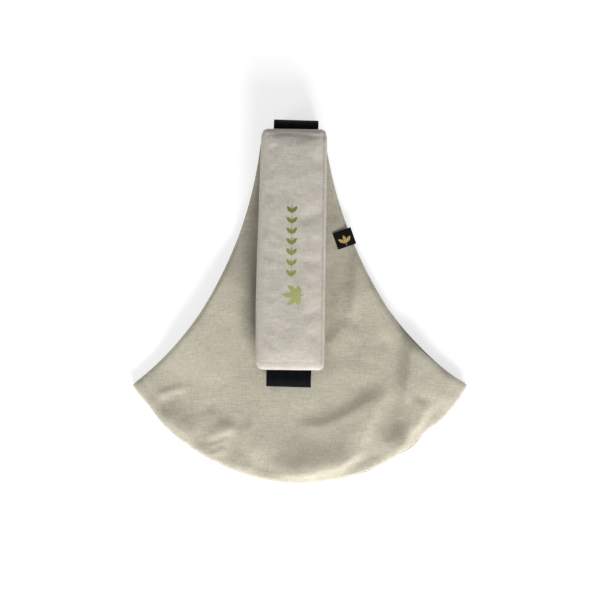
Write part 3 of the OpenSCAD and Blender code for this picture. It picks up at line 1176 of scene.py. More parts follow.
@dataclass
class Pouch:
    """The sling itself: two lined panels sewn along the seat."""

    canvas: Finish
    lining_cloth: Finish
    # painted shade: a darker copy of the canvas for the back panel's edges that peek out
    shade_cloth: Finish
    thread: Finish
    lie: PouchLie = field(default_factory=PouchLie)
    fine: int = 150
    coarse: int = 60
    hem: float = 9.0 * MM
    allowance: float = 8.0 * MM
    leg_length: float = 290 * MM
    middle_extra: float = 97 * MM
    peek: float = 1.9 * MM
    air: float = 0.05 * MM

    def sheet_of(
        self, name: str, outline: Outline, top: Height, thick: float, low: float = 0.0, fine: bool = True
    ) -> Item:
        """Makes one laid layer of cloth.

        Args:
            name: the piece's name.
            outline: its cut.
            top: the height of its upper face.
            thick: its thickness.
            low: where it starts, up from the seat.
            fine: True for a layer that shows.

        Returns:
            The closed layer.
        """

        def place(s: Array, t: Array) -> Array:
            """Places points of the unit square."""
            x, y = outline.patch(s, low + (1.0 - low) * t)
            return stack(x, y, top(x, y))

        faces = self.fine if fine else self.coarse
        return Bench.slab(name, faces, faces, place, lambda x, y, z: z - thick)

    def front_panel(self) -> Item:
        """Makes the front panel's outer cloth, with its folds and seam band."""
        obj = self.sheet_of("front_panel", self.lie.outline, self.lie.front, self.lie.ply * 0.9)
        return Bench.settle(obj, self.canvas, "canvas", "sling", "front_panel_outer")

    def back_panel(self) -> Item:
        """Makes the back panel's outer cloth, which peeks out past the front at the right and along the seat, in a
        darker copy of the canvas as painted shade.
        """
        outline = self.lie.outline
        up, across = np.linspace(0, 1, 90), np.linspace(0, 1, 140)
        bulge = np.sin(np.pi * np.clip((up - 0.02) / 0.42, 0, 1)) ** 2
        right = outline.at(outline.right, up) + bulge[:, None] * np.array([0.7, 0.75]) * self.peek
        slip = bell(across - 0.79, 0.035) + 0.8 * bell(across - 0.665, 0.03)
        seat = outline.at(outline.seat, across) + slip[:, None] * np.array([0.45, -0.9]) * self.peek * 0.7
        cut = Outline(outline.left, right, seat, outline.top)
        obj = self.sheet_of("back_panel", cut, lambda x, y: self.lie.back(x, y) - self.air, self.lie.ply * 0.95)
        co = Bench.points(obj)
        co[:, 2] = np.maximum(co[:, 2], 0.0)
        Bench.move(obj, co)
        return Bench.settle(obj, self.shade_cloth, "canvas", "sling", "back_panel_outer")

    def linings(self) -> list[Item]:
        """Makes both linings, between the outer cloths."""
        lie, made = self.lie, []
        tops = (
            ("front", lambda x, y: lie.front(x, y) - lie.ply - self.air),
            ("back", lambda x, y: lie.back(x, y) + lie.lining),
        )
        for ply, top in tops:
            node = f"{ply}_panel_lining"
            obj = self.sheet_of(f"{ply}_lining", Outline.of(node), top, lie.lining * 0.9, 0.036, fine=False)
            made.append(Bench.settle(obj, self.lining_cloth, "lining", "sling", node))
        return made

    def leg_hem(self, ply: Ply, side: Side) -> Item:
        """Makes the folded hem along one leg edge of a panel, inside the pouch.

        Args:
            ply: which panel it is on.
            side: which leg edge it follows.

        Returns:
            The hem.
        """
        lie = self.lie
        node = f"{ply.name.lower()}_hem_{side.name.lower()}"
        cut = Outline.of("front_panel_lining")
        end = cut.share_at(side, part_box(node)[1].y)

        def place(s: Array, t: Array) -> Array:
            """Places points of the unit square."""
            up = 0.04 + (end - 0.04) * t
            share = s * self.hem / cut.span(up)
            x, y = cut.patch(share if side is Side.LEFT else 1 - share, up)
            if ply is Ply.FRONT:
                return stack(x, y, lie.front(x, y) - lie.ply - lie.lining - 2 * self.air)
            pillow = 0.25 * MM * np.sin(np.pi * s)
            return stack(x, y, lie.back(x, y) + lie.lining + 0.65 * MM + pillow)

        obj = Bench.slab(node.replace("_hem", "_leg_hem"), 6, 110, place, lambda x, y, z: z - 0.55 * MM)
        return Bench.settle(obj, self.canvas, "canvas", "sling", node)

    def seam_allowance(self) -> Item:
        """Makes the turned-in seam edges along the seat, which fill the hollow there."""
        lie = self.lie
        cut = Outline.of("front_panel_lining")

        def place(s: Array, t: Array) -> Array:
            """Places points of the unit square."""
            depth = self.leg_length + self.middle_extra * np.sin(np.pi * s)
            x, y = cut.patch(s * 0.988 + 0.006, (2.0 * MM + self.allowance * t) / depth)
            return stack(x, y, lie.front(x, y) - lie.ply - 2 * self.air)

        def floor(x: Array, y: Array, z: Array) -> Array:
            """Returns the band's lower face."""
            return np.minimum(lie.back(x, y) + 2 * self.air, z - 0.3 * MM)

        obj = Bench.slab("seam_allowance_edges", 170, 6, place, floor)
        return Bench.settle(obj, self.canvas, "canvas", "sling", "seam_allowance")

    def apex_patch(self, ply: Ply) -> Item:
        """Makes the reinforcement at the shoulder end of one panel.

        Args:
            ply: which panel it is on.

        Returns:
            The reinforcement.
        """
        lie = self.lie
        node = f"{ply.name.lower()}_apex_patch"
        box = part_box(node)
        thick = (box[1].z - box[0].z) * 0.9
        cut = lie.outline
        low = cut.share_at(Side.LEFT, box[0].y)

        def place(s: Array, t: Array) -> Array:
            """Places points of the unit square."""
            x, y = cut.patch(0.012 + 0.976 * s, low + (0.993 - low) * t)
            y = y + (box[0].y - y) * (1 - t) ** 6
            z = lie.front(x, y) + thick if ply is Ply.FRONT else lie.back(x, y) + lie.lining + thick
            return stack(x, y, z)

        name = f"{ply.name.lower()}_reinforcement"
        obj = Bench.slab(name, 50, 40, place, lambda x, y, z: z - thick * 0.98)
        return Bench.settle(obj, self.canvas, "canvas", "sling", node)

    def stitches(self) -> Item:
        """Sews the lower edge of the front patch."""
        box, cut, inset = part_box("front_apex_patch"), self.lie.outline, 2.5 * MM
        y = box[0].y + 1.6 * MM
        a = cut.at(cut.left, np.array([cut.share_at(Side.LEFT, y)]))[0]
        b = cut.at(cut.right, np.array([cut.share_at(Side.RIGHT, y)]))[0]
        line = np.array([[a[0] + inset, y], [b[0] - inset, y]])
        rise = (box[1].z - box[0].z) * 0.85
        sewing = Stitching("front_patch_stitches")
        return sewing.sew([line], lambda x, y: self.lie.front(x, y) + rise, self.thread, "thread", "sling")

    def build(self) -> None:
        """Builds the whole pouch."""
        front, back = self.front_panel(), self.back_panel()
        log.info("pouch panels: %s, %s", front.name, back.name)
        inner = self.linings()
        hems = [self.leg_hem(p, s) for p in Ply for s in Side]
        band = self.seam_allowance()
        patches = [self.apex_patch(p) for p in Ply]
        self.stitches()
        log.info("pouch linings, %d hems, %s and %d patches", len(hems), band.name, len(patches))
        size = Bench.size("front_panel_outer")
        flat, area = (round(size.x, 3), round(size.y, 3)), round(float(self.flat_area()), 4)
        for ply, obj in zip(Ply, patches):
            panel = ply.name.lower()
            size = Bench.size(f"{panel}_apex_patch")
            flat, area = (round(size.x, 3), round(size.y, 3)), round(size.x * size.y * 0.9, 5)

    def flat_area(self) -> float:
        """Returns the area of the panel's cut."""
        cut = self.lie.outline
        ring = np.concatenate([cut.seat, cut.right[1:], cut.left[::-1]])
        x, y = ring[:, 0], ring[:, 1]
        return 0.5 * abs(np.dot(x, np.roll(y, -1)) - np.dot(y, np.roll(x, -1)))


# ---------------------------------------------------------------- the label


@dataclass
class SideLabel:
    """The folded woven tab sewn into the right leg edge."""

    cloth: Finish
    thread: Finish
    ply: float = 0.7 * MM
    splay: float = 48
    root: float = 0.6 * MM

    def tab(self) -> Item:
        """Makes the tab as one strip folded at its inner end."""
        span = Span.of(TAB, "side_label")
        low, high = span.z0 + self.ply / 2, span.z1 - self.ply / 2
        r = (high - low) / 2
        bend = arc(span.v1 - r - self.ply / 2, low + r, r, r, -90, 90, 10)
        path = np.array([(span.v0, low), *bend, (span.v0, high)])
        obj = Ribbon("woven_label", TAB, path, span.middle, span.width, self.ply, 0.8 * MM, 14, 0.2 * MM).build()
        return Bench.settle(obj, self.cloth, "label_cloth", "label", "side_label")

    def motif(self) -> Item:
        """Makes the embroidered sprig of three leaves."""
        span = Span.of(TAB, "label_motif")
        centre = (span.middle, (span.v0 + span.v1) / 2)
        model = Leaf(length=9.2 * MM, width=3.7 * MM, rise=0.32 * MM).build("motif_leaf")
        shape = Bench.points(model)
        places = []
        across, along = shape[:, 0], shape[:, 1] + self.root
        for turn in (-self.splay, 0, self.splay):
            a = math.radians(turn)
            u = across * math.cos(a) + along * math.sin(a)
            v = -across * math.sin(a) + along * math.cos(a)
            x, y = TAB.world(centre[0] + v - 4.6 * MM, centre[1] + u)
            places.append(stack(x, y, span.z0 + shape[:, 2]))
        stem = shape * np.array([0.28, 0.38, 0.8])
        x, y = TAB.world(centre[0] - stem[:, 1] - 4.2 * MM, centre[1] + stem[:, 0])
        places.append(stack(x, y, span.z0 + stem[:, 2]))
        obj = Bench.copies("label_sprig", model, places)
        Bench.outward(obj)
        return Bench.settle(obj, self.thread, "label_thread", "label", "label_motif", degrees=60)

    def build(self) -> None:
        """Builds the label."""
        log.info("label: %s, %s", self.tab().name, self.motif().name)


@dataclass(frozen=True)
class Leaf:
    """A small pointed leaf with a groove along its middle, lying along Y from the origin."""

    length: float
    width: float
    rise: float
    groove: float = 0.35

    def build(self, name: str, columns: int = 6, rows: int = 12) -> Item:
        """Returns the leaf as a closed mesh whose underside is at height 0.

        Args:
            name: the leaf's name.
            columns: faces across.
            rows: faces along.

        Returns:
            The leaf.
        """

        def place(s: Array, t: Array) -> Array:
            """Places points of the unit square."""
            half = self.width / 2 * np.sin(np.pi * np.clip(t, 0.015, 0.985)) ** 0.8
            side = (s - 0.5) * 2
            z = self.rise * (0.35 + 0.65 * (1 - side**2)) * (1 - self.groove * bell(side, 0.16))
            return stack(side * half, t * self.length, z)

        return Bench.slab(name, columns, rows, place, lambda x, y, z: 0.0)


# ---------------------------------------------------------------- the strap


@dataclass
class ShoulderStrap:
    """The webbing from the front apex, through buckle and pad, to the back apex."""

    webbing: Finish
    elastic: Finish
    thread: Finish
    thick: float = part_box("webbing_outer_run")[1].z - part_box("webbing_outer_run")[0].z
    bar_run: float = 12 * MM
    tail_lie: float = 58 * MM
    sewn: float = 24 * MM
    parted: float = 38 * MM
    short_end: float = 12 * MM

    def span(self, *nodes: str) -> Span:
        """Measures webbing nodes along the strap."""
        return Span.of(STRAP, *nodes)

    def strip(self, name: str, path: Sequence[tuple[float, float]]) -> Item:
        """Makes one length of webbing.

        Args:
            name: the piece's name.
            path: its centre line along the strap and up.

        Returns:
            The webbing.
        """
        run = self.span("webbing_outer_run")
        obj = Ribbon(name, STRAP, np.array(path), run.middle, run.width, self.thick).build()
        Bench.dress(obj, self.webbing, "webbing")
        length = path_length(np.array(path))
        return obj

    def long_run(self) -> Item:
        """Makes the run through the pad, round the bottom fold and the ladder bar, to the tail."""
        half = self.thick / 2
        outer, fold = self.span("webbing_outer_run"), self.span("webbing_bottom_fold")
        inner, loop = self.span("webbing_inner_run"), self.span("webbing_ladder_loop")
        tail, hem = self.span("webbing_free_tail"), self.span("tail_end_hem")
        z_out, z_in = outer.level, inner.level
        up = loop.rise / 2 - half
        z_up = loop.z1 - half
        rest = hem.z0 - half
        path = [
            (outer.v1, z_out),
            *arc(fold.v1, (z_out + z_in) / 2, fold.length - half, (z_out - z_in) / 2, 90, 270),
            *arc(inner.v1, loop.level, loop.v1 - inner.v1 - half, up, -90, 90, 16),
            (inner.v1 - self.bar_run, z_up),
            (inner.v1 - self.bar_run - 3 * MM, z_up - 0.2 * MM),
            (tail.v0 + self.tail_lie + 5 * MM, rest + 0.5 * MM),
            (tail.v0 + self.tail_lie, rest),
            *arc(tail.v0 + 1.0 * MM, rest + half + 0.05 * MM, 0.9 * MM, half + 0.05 * MM, -90, -270, 10),
            (hem.v1, rest + self.thick + 0.1 * MM),
        ]
        obj = self.strip("strap_webbing", path)
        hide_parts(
            "webbing_outer_run", "webbing_bottom_fold", "webbing_inner_run", "webbing_ladder_loop",
            "webbing_free_tail", "tail_end_hem",
        )
        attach(obj, "strap")
        return obj

    def fold(self, name: str, node: str, height: float, depth: float) -> Item:
        """Makes a fold at the shoulder end.

        Args:
            name: the piece's name.
            node: the CAD node it stands for.
            height: the centre line of its upper strand.
            depth: the centre line of its lower strand.

        Returns:
            The fold.
        """
        span = self.span(node)
        half = self.thick / 2
        path = arc(span.v0, (height + depth) / 2, span.length - half, (height - depth) / 2, 90, -90)
        obj = self.strip(name, path)
        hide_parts(node)
        at = span.corner(span.middle, span.v0, depth + half)
        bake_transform(obj)
        return obj

    def socket_tail(self) -> Item:
        """Makes the end that loops round the socket's bar and is sewn to itself."""
        span, half = self.span("webbing_socket_tail"), self.thick / 2
        r = span.rise / 2 - half
        bar, mid = span.v0 + r + half, span.level
        upper = self.span("webbing_inner_fold").z1 - half
        lower = upper - self.thick - 0.2 * MM
        path = [
            (span.v1, upper), (span.v1 - self.sewn, upper), (span.v1 - self.parted, mid + r),
            *arc(bar, mid, r, r, 90, 270, 14),
            (span.v1 - self.parted, mid - r), (span.v1 - self.sewn - 2 * MM, lower), (span.v1 - self.short_end, lower),
        ]
        obj = self.strip("socket_loop", path)
        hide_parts("webbing_socket_tail")
        sewn, free = span.corner(span.middle, span.v1, mid), span.corner(span.middle, span.v1 - 40 * MM, mid)
        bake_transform(obj)
        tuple(sewn)
        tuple(free)
        return obj

    def anchor(self, ply: Ply) -> Item:
        """Makes the webbing sewn to one apex, with its box of stitching.

        Args:
            ply: which panel it is sewn to.

        Returns:
            The webbing.
        """
        name = ply.name.lower()
        span, sewn = self.span(f"webbing_{name}_anchor"), self.span(f"{name}_anchor_stitch")
        path = [(span.v0, span.level), (span.v1, span.level)]
        obj = self.strip(f"{name}_anchor", path)
        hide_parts(f"webbing_{name}_anchor")
        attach(obj, "sling")
        corners = [(sewn.u0, sewn.v0), (sewn.u1, sewn.v0), (sewn.u1, sewn.v1), (sewn.u0, sewn.v1)]
        pairs = [(0, 1), (1, 2), (2, 3), (3, 0), (0, 2), (1, 3)]
        lines = [np.array([STRAP.world(*corners[a]), STRAP.world(*corners[b])]) for a, b in pairs]
        sewing = Stitching(f"{name}_anchor_stitches", Thread.HEAVY)
        face = span.z1
        sewing.sew(
            lines, lambda x, y: np.full(len(x), face), self.thread, "black_thread", "sling", f"{name}_anchor_stitch"
        )
        return obj

    def keeper(self) -> Item:
        """Makes the elastic ring that holds the free tail."""
        span, wall, square, rib = self.span("elastic_keeper"), 0.9 * MM, 0.42, 0.075 * MM
        w, h = (span.width - wall) / 2, (span.rise - wall) / 2

        def place(s: Array, t: Array) -> Array:
            """Places points of the unit square round the ring and along it."""
            a = s * 2 * np.pi
            u = span.middle + w * np.sign(np.cos(a)) * np.abs(np.cos(a)) ** square
            z = span.level + h * np.sign(np.sin(a)) * np.abs(np.sin(a)) ** square
            swell = rib * np.cos((t - 0.5) * 9 * np.pi)
            x, y = STRAP.world(u, span.v0 + t * span.length)
            return stack(x, y, z + swell * np.sign(z - span.level))

        obj = Bench.grid("elastic_ring", 72, 18, place)
        Bench.edit(obj, bpy.ops.mesh.remove_doubles, threshold=0.02 * MM)
        Bench.outward(obj)
        Bench.apply(obj, "SOLIDIFY", thickness=wall, offset=0.0)
        return Bench.settle(obj, self.elastic, "elastic", "keeper", "elastic_keeper")

    def build(self) -> None:
        """Builds the strap from end to end."""
        half = self.thick / 2
        run = self.long_run()
        back, front = self.span("webbing_back_anchor"), self.span("webbing_front_anchor")
        outer, inner = self.span("webbing_outer_run"), self.span("webbing_inner_fold")
        top = self.fold("top_fold", "webbing_top_fold", outer.level, back.z1 - half)
        low = self.fold("inner_fold", "webbing_inner_fold", inner.z1 - half, front.z1 - half)
        log.info("strap: %s, %s, %s", run.name, top.name, low.name)
        loop = self.socket_tail()
        ends = [self.anchor(p) for p in Ply]
        ring = self.keeper()
        log.info("strap ends: %s, %s, %s", loop.name, [e.name for e in ends], ring.name)


@dataclass
class Buckle:
    """The side-release buckle: its moulded parts keep their CAD shape."""

    plastic: Finish
    nodes: tuple[str, ...] = ("buckle_socket", "buckle_plug", "prong_left", "prong_right")

    def build(self) -> None:
        """Gives each moulded part its plastic."""
        for node in self.nodes:
            obj = frame["nodes"][node]
            obj.data.materials.clear()
            obj.data.materials.append(self.plastic)
            log.info("buckle: %s", node)


# ---------------------------------------------------------------- the shoulder pad


@dataclass
class Padding:
    """Swells a closed cloth shell by simulation."""

    pressure: float = 4.0
    slack: float = 0.005
    cap: float = 2.5 * MM
    stretch: float = 12.0
    shear: float = 4.0
    bend: float = 3.0
    mass: float = 0.15
    quality: int = 6
    frames: int = 20
    calm: int = 6

    def swell(self, obj: Item, held: Array) -> None:
        """Runs the cloth and keeps the result.

        Args:
            obj: the shell.
            held: which vertices stay where they are.
        """
        rest = Bench.points(obj)
        group = obj.vertex_groups.new(name="held")
        group.add([int(i) for i in np.nonzero(held)[0]], 1.0, "REPLACE")
        cloth = obj.modifiers.new("cloth", "CLOTH")
        s = cloth.settings
        s.quality = self.quality
        s.mass = self.mass
        s.tension_stiffness = s.compression_stiffness = self.stretch
        s.shear_stiffness = self.shear
        s.bending_stiffness = self.bend
        s.use_pressure = True
        s.uniform_pressure_force = self.pressure
        s.shrink_min = -self.slack
        s.vertex_group_mass = "held"
        s.effector_weights.gravity = 0.0
        cloth.point_cache.frame_start = 1
        cloth.point_cache.frame_end = self.frames
        scene = bpy.context.scene
        for number in range(1, self.frames + 1):
            scene.frame_set(number)
        shell = obj.evaluated_get(bpy.context.evaluated_depsgraph_get())
        co = np.zeros(len(rest) * 3, np.float32)
        shell.data.vertices.foreach_get("co", co)
        shift = co.reshape(-1, 3).astype(float) - rest
        far = np.linalg.norm(shift, axis=1)
        log.info("%s swells by up to %.1f mm", obj.name, far.max() / MM)
        keep = np.minimum(1.0, self.cap / np.maximum(far, 1e-9))
        obj.modifiers.remove(cloth)
        obj.vertex_groups.remove(group)
        scene.frame_set(1)
        Bench.move(obj, rest + shift * keep[:, None])
        free = obj.vertex_groups.new(name="free")
        free.add([int(i) for i in np.nonzero(~held)[0]], 1.0, "REPLACE")
        Bench.apply(obj, "SMOOTH", factor=0.5, iterations=self.calm, vertex_group="free")
        obj.vertex_groups.remove(obj.vertex_groups["free"])


@dataclass(frozen=True)
class Bolster:
    """The outer shape of the closed pad: rounded on its left, falling off at both ends."""

    inside: float = 9.0 * MM
    deep: float = 4.4 * MM
    lap: float = 2.6 * MM
    base: float = 2.2 * MM
    low_end: float = 10.0 * MM
    top_end: float = 8.0 * MM
    lean_in: float = 3.0 * MM
    lean_from: float = 70.0 * MM

    @property
    def front(self) -> Span:
        """The front leaf's place."""
        return Span.of(PAD, "pad_front_cover")

    @property
    def middle(self) -> float:
        """The height of the plane between the leaves."""
        return (self.front.z1 + Span.of(PAD, "pad_back_cover").z0) / 2

    @property
    def half(self) -> float:
        """The pad's half thickness."""
        return self.front.z1 - self.middle

    def round(self, d: Array) -> Array:
        """Returns the half thickness at a distance in from the leaves' left edge."""
        share = np.clip((self.inside - d) / (self.inside + self.deep), 0, 1)
        return self.half * np.sqrt(1 - share**2)

    def ends(self, v: Array) -> Array:
        """Returns how full the pad is along its length, from 0 to 1 (its top end is at the front leaf's)."""
        low = np.clip((v - self.front.v0) / self.low_end, 0, 1)
        top = np.clip((self.front.v1 - v) / self.top_end, 0, 1)
        return np.sqrt(1 - (1 - low) ** 2) * (1 - (1 - top) ** 2.4)

    def lean(self, u: Array, v: Array) -> Array:
        """Returns u moved over where the pad narrows toward its top."""
        span = self.front
        rise = np.clip((v - span.v0 - self.lean_from) / (span.length - self.lean_from), 0, 1)
        return u + self.lean_in * rise * (span.u1 - u) / span.width


@dataclass
class PadLeaf:
    """One padded leaf of the shoulder pad."""

    name: str
    nodes: tuple[str, ...]
    body: str
    outward: int
    canvas: Finish
    reach: float = 0.0
    short: float = 0.0
    shape: Bolster = field(default_factory=Bolster)
    hem: float = 8.8 * MM
    flange: float = 3.8 * MM
    lip: float = 3.8 * MM
    groove: float = 2.8 * MM
    seam: float = 0.1 * MM
    corner: float = 7.0 * MM
    columns: int = 34
    rows: int = 110
    ripples: tuple[Ripple, ...] = (Ripple(0.16, 20, 48, 21), Ripple(0.05, 6, 12, 22))

    @property
    def span(self) -> Span:
        """The place of the leaf, whose cover is the first of its nodes."""
        span = Span.of(PAD, self.nodes[0])
        return replace(span, v1=span.v1 - self.short)

    def rounded(self, u: Array, v: Array, span: Span) -> tuple[Array, Array]:
        """Rounds the leaf's two right-hand corners and eases the left ones.

        Args:
            u: the points across.
            v: the points along.
            span: the leaf's place.

        Returns:
            The points moved in from the corners.
        """
        u, v = u.copy(), v.copy()
        right = span.u1 + self.reach
        for cu, su, r in ((right - self.corner, 1, self.corner), (span.u0 + 3 * MM, -1, 3 * MM)):
            for cv, sv in ((span.v1 - r, 1), (span.v0 + r, -1)):
                a, b = (u - cu) / r * su, (v - cv) / r * sv
                hit = (a > 0) & (b > 0)
                a2, b2 = a * np.sqrt(np.clip(1 - b * b / 2, 0, 1)), b * np.sqrt(np.clip(1 - a * a / 2, 0, 1))
                u = np.where(hit, cu + su * r * a2, u)
                v = np.where(hit, cv + sv * r * b2, v)
        return u, v

    def rise(self, u: Array, v: Array, span: Span) -> Array:
        """Returns how thick the leaf starts at a point, before it swells.

        Args:
            u: the points across.
            v: the points along.
            span: the leaf's place.

        Returns:
            The thickness at each point.
        """
        shape = self.shape
        d = u - span.u0
        full = shape.round(d) - (shape.half - span.rise)
        room = smoothstep((d - 3.5 * MM) / (9 * MM)) * smoothstep((span.u1 + self.reach - u) / (14 * MM))
        full = full - 1.1 * MM * room
        right = smoothstep((span.u1 + self.reach - self.flange + 0.6 * MM - u) / (5.0 * MM))
        full = self.lip + (full - self.lip) * right
        base = np.minimum(shape.base, full)
        return base + (full - base) * shape.ends(v + self.short * smoothstep((v - span.v0) / (40 * MM)))

    def build(self) -> Item:
        """Returns the leaf, swollen and finished."""
        span = self.span
        inner = span.z0 if self.outward > 0 else span.z1
        right = span.u1 + self.reach

        def place(s: Array, t: Array) -> Array:
            """Places points of the unit square."""
            u, v = span.u0 + s * (right - span.u0), span.v0 + t * span.length
            h = self.rise(u, v, span)
            u, v = self.rounded(u, v, span)
            x, y = PAD.world(self.shape.lean(u, v), v)
            return stack(x, y, inner + self.outward * h)

        obj = Bench.grid(self.name, self.columns, self.rows, place)
        low = Bench.thicken(obj, lambda x, y, z: inner + self.seam * self.outward)
        co = Bench.points(obj)
        u, v = PAD.local(co[:, 0], co[:, 1])
        ends = (v < span.v0 + 3 * MM) | (v > span.v1 - 2.5 * MM)
        Padding().swell(obj, low | ends | (u > right - self.flange) | (u < span.u0 + 3.5 * MM))
        Bench.apply(obj, "SUBSURF", levels=1, render_levels=1)
        self.finish(obj, span, inner)
        return Bench.settle(obj, self.canvas, "pad_canvas", self.body, *self.nodes)

    def finish(self, obj: Item, span: Span, inner: float) -> None:
        """Presses the stitched flange, the hem crease and the gathers into the swollen leaf.

        Args:
            obj: the leaf.
            span: its place.
            inner: the height of its inner face.
        """
        co = Bench.points(obj)
        u, v = PAD.local(co[:, 0], co[:, 1])
        h = (co[:, 2] - inner) * self.outward
        dent = 1.0 * MM * bell(u - span.u1 - self.reach + self.groove, 1.0 * MM)
        dent += 0.3 * MM * bell(v - span.v0 - self.hem - 0.6 * MM, 1.0 * MM)
        gather = np.sin((u - span.u0) / (3.1 * MM)) * np.sin(v / (7.0 * MM) + u / (9 * MM))
        corners = bell(u - span.u0 - 6 * MM, 11 * MM) + bell(u - span.u1 + 6 * MM, 9 * MM)
        dent += 0.55 * MM * bell(span.v1 - v, 16 * MM) * corners * gather
        dent += 0.6 * MM * bell(span.v1 - v - 7 * MM - 1.5 * MM * np.sin(u / (11 * MM)), 2.2 * MM)
        soft = sum(ripple.height(co[:, 0], co[:, 1]) for ripple in self.ripples)
        press = smoothstep((h - 1.0 * MM) / (2.0 * MM))
        pressed = np.maximum(h - dent * press + soft * press, 0.9 * MM)
        co[:, 2] = inner + self.outward * np.where(h > 1.0 * MM, pressed, np.maximum(h, 0.05 * MM))
        Bench.move(obj, co)


@dataclass
class ShoulderPad:
    """The padded sleeve: two leaves, the fold between them, its tapes, stitching and print."""

    canvas: Finish
    thread: Finish
    hooks: Finish
    loops: Finish
    bar_ink: Finish
    sprig_ink: Finish
    short: float = 3.2 * MM
    pairs: int = 7
    pair_pitch: float = 12 * MM
    splay: float = 38
    ink_rise: float = 0.14 * MM
    ink_sink: float = 0.25 * MM

    def spine(self) -> Item:
        """Makes the soft fold on the left that joins the leaves."""
        span = Span.of(PAD, "pad_spine")
        back, front = Span.of(PAD, "pad_back_cover"), Span.of(PAD, "pad_front_cover")
        shape = Bolster()
        turn = math.acos((shape.inside - shape.lap) / (shape.inside + shape.deep))
        top = shape.half * math.sin(turn)
        least = shape.half - front.rise + shape.base

        def place(s: Array, t: Array) -> Array:
            """Places points of the unit square round the fold and along it."""
            v = front.v0 + 1.2 * MM + t * (front.length - 2.4 * MM - self.short * smoothstep((s - 0.3) / 0.4))
            a = turn * (1 - 2 * s)
            belly = 1 + 0.16 * bell(v - 25 * MM, 70 * MM) - 0.08 * smoothstep((v - 140 * MM) / (50 * MM))
            close = smoothstep(np.minimum(v - front.v0, front.v1 - v) / (9 * MM))
            deep = shape.deep * belly * (0.35 + 0.65 * close)
            u = front.u0 + shape.inside - (shape.inside + deep) * np.cos(a)
            full = (least + (top - least) * shape.ends(v)) / top
            under = 0.5 * MM * np.clip((np.abs(1 - 2 * s) - 0.86) / 0.14, 0, 1)
            z = shape.middle + shape.half * np.sin(a) * full - np.sign(a) * under
            x, y = PAD.world(shape.lean(u, v), v)
            return stack(x, y, z)

        obj = Bench.grid("pad_fold", 40, 150, place)
        Bench.outward(obj)
        Bench.apply(obj, "SOLIDIFY", thickness=0.9 * MM, offset=-1.0)
        Bench.outward(obj)
        Bench.smooth(obj)
        Bench.dress(obj, self.canvas, "pad_canvas")
        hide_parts("pad_spine")
        at = back.corner(span.u0, 0.0, back.z0 + 4 * MM)
        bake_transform(obj)
        return obj

    def tape(self, node: str, body: str, finish: Finish) -> Item:
        """Makes one strip of touch tape with rounded corners and a sewn edge.

        Args:
            node: the CAD node it stands for.
            body: the body it rides.
            finish: its material.

        Returns:
            The tape.
        """
        span = Span.of(PAD, node)
        corner, rim, dip = 1.2 * MM, 0.7 * MM, 0.25 * MM

        def place(s: Array, t: Array) -> Array:
            """Places points of the unit square."""
            ends = np.minimum(t, 1 - t) * span.length
            pinch = np.sqrt(np.clip(1 - np.clip(1 - ends / corner, 0, 1) ** 2, 0, 1))
            u = span.middle + (s - 0.5) * (span.width - 2 * corner * (1 - pinch) * 0.8)
            edge = np.minimum(np.minimum(s, 1 - s) * span.width, ends)
            x, y = PAD.world(u, span.v0 + t * span.length)
            return stack(x, y, span.z1 - dip * bell(edge, rim))

        obj = Bench.slab(node + "_strip", 12, 200, place, lambda x, y, z: span.z0 + 0.02 * MM)
        return Bench.settle(obj, finish, "touch_tape", body, node)

    def stitching(self, leaf: PadLeaf, obj: Item) -> Item:
        """Sews the right-hand flange of the front leaf.

        Args:
            leaf: the front leaf's sizes.
            obj: the front leaf.

        Returns:
            The stitches.
        """
        span, tree = leaf.span, Bench.tree(obj)
        u = span.u1 + leaf.reach - leaf.groove
        edge = np.array([PAD.world(u, v) for v in np.linspace(span.v0 + 4 * MM, span.v1 - 8 * MM, 40)])
        sewing = Stitching("pad_edge_stitches")
        face = span.z0 + 2.5 * MM
        return sewing.sew(
            [edge], lambda x, y: Bench.on_top(tree, x, y, face), self.thread, "thread", "pad_flap", "pad_edge_stitch"
        )

    def printed(self, name: str, node: str, leaves: Sequence[Stamp], obj: Item, ink: Finish) -> Item:
        """Prints leaf shapes on the front leaf.

        Args:
            name: the piece's name.
            node: the CAD node it stands for.
            leaves: for each, its root across and along, its turn in degrees, length and width.
            obj: the swollen leaf it is printed on.
            ink: its finish.

        Returns:
            The print.
        """
        tree = Bench.tree(obj)
        top = Span.of(PAD, node).z0
        model = Leaf(length=1.0, width=1.0, rise=0.0).build("leaf_print", 6, 14)
        shape = Bench.points(model)
        upper = np.arange(len(shape)) < len(shape) // 2
        places = []
        for root_u, root_v, turn, length, width in leaves:
            a = math.radians(turn)
            du, dv = shape[:, 0] * width, shape[:, 1] * length
            u = root_u + du * math.cos(a) - dv * math.sin(a)
            v = root_v + du * math.sin(a) + dv * math.cos(a)
            x, y = PAD.world(u, v)
            z = Bench.on_top(tree, x, y, top)
            places.append(stack(x, y, z + np.where(upper, self.ink_rise, -self.ink_sink)))
        made = Bench.copies(name, model, places)
        Bench.outward(made)
        return Bench.settle(made, ink, "print_ink", "pad_flap", node, degrees=40)

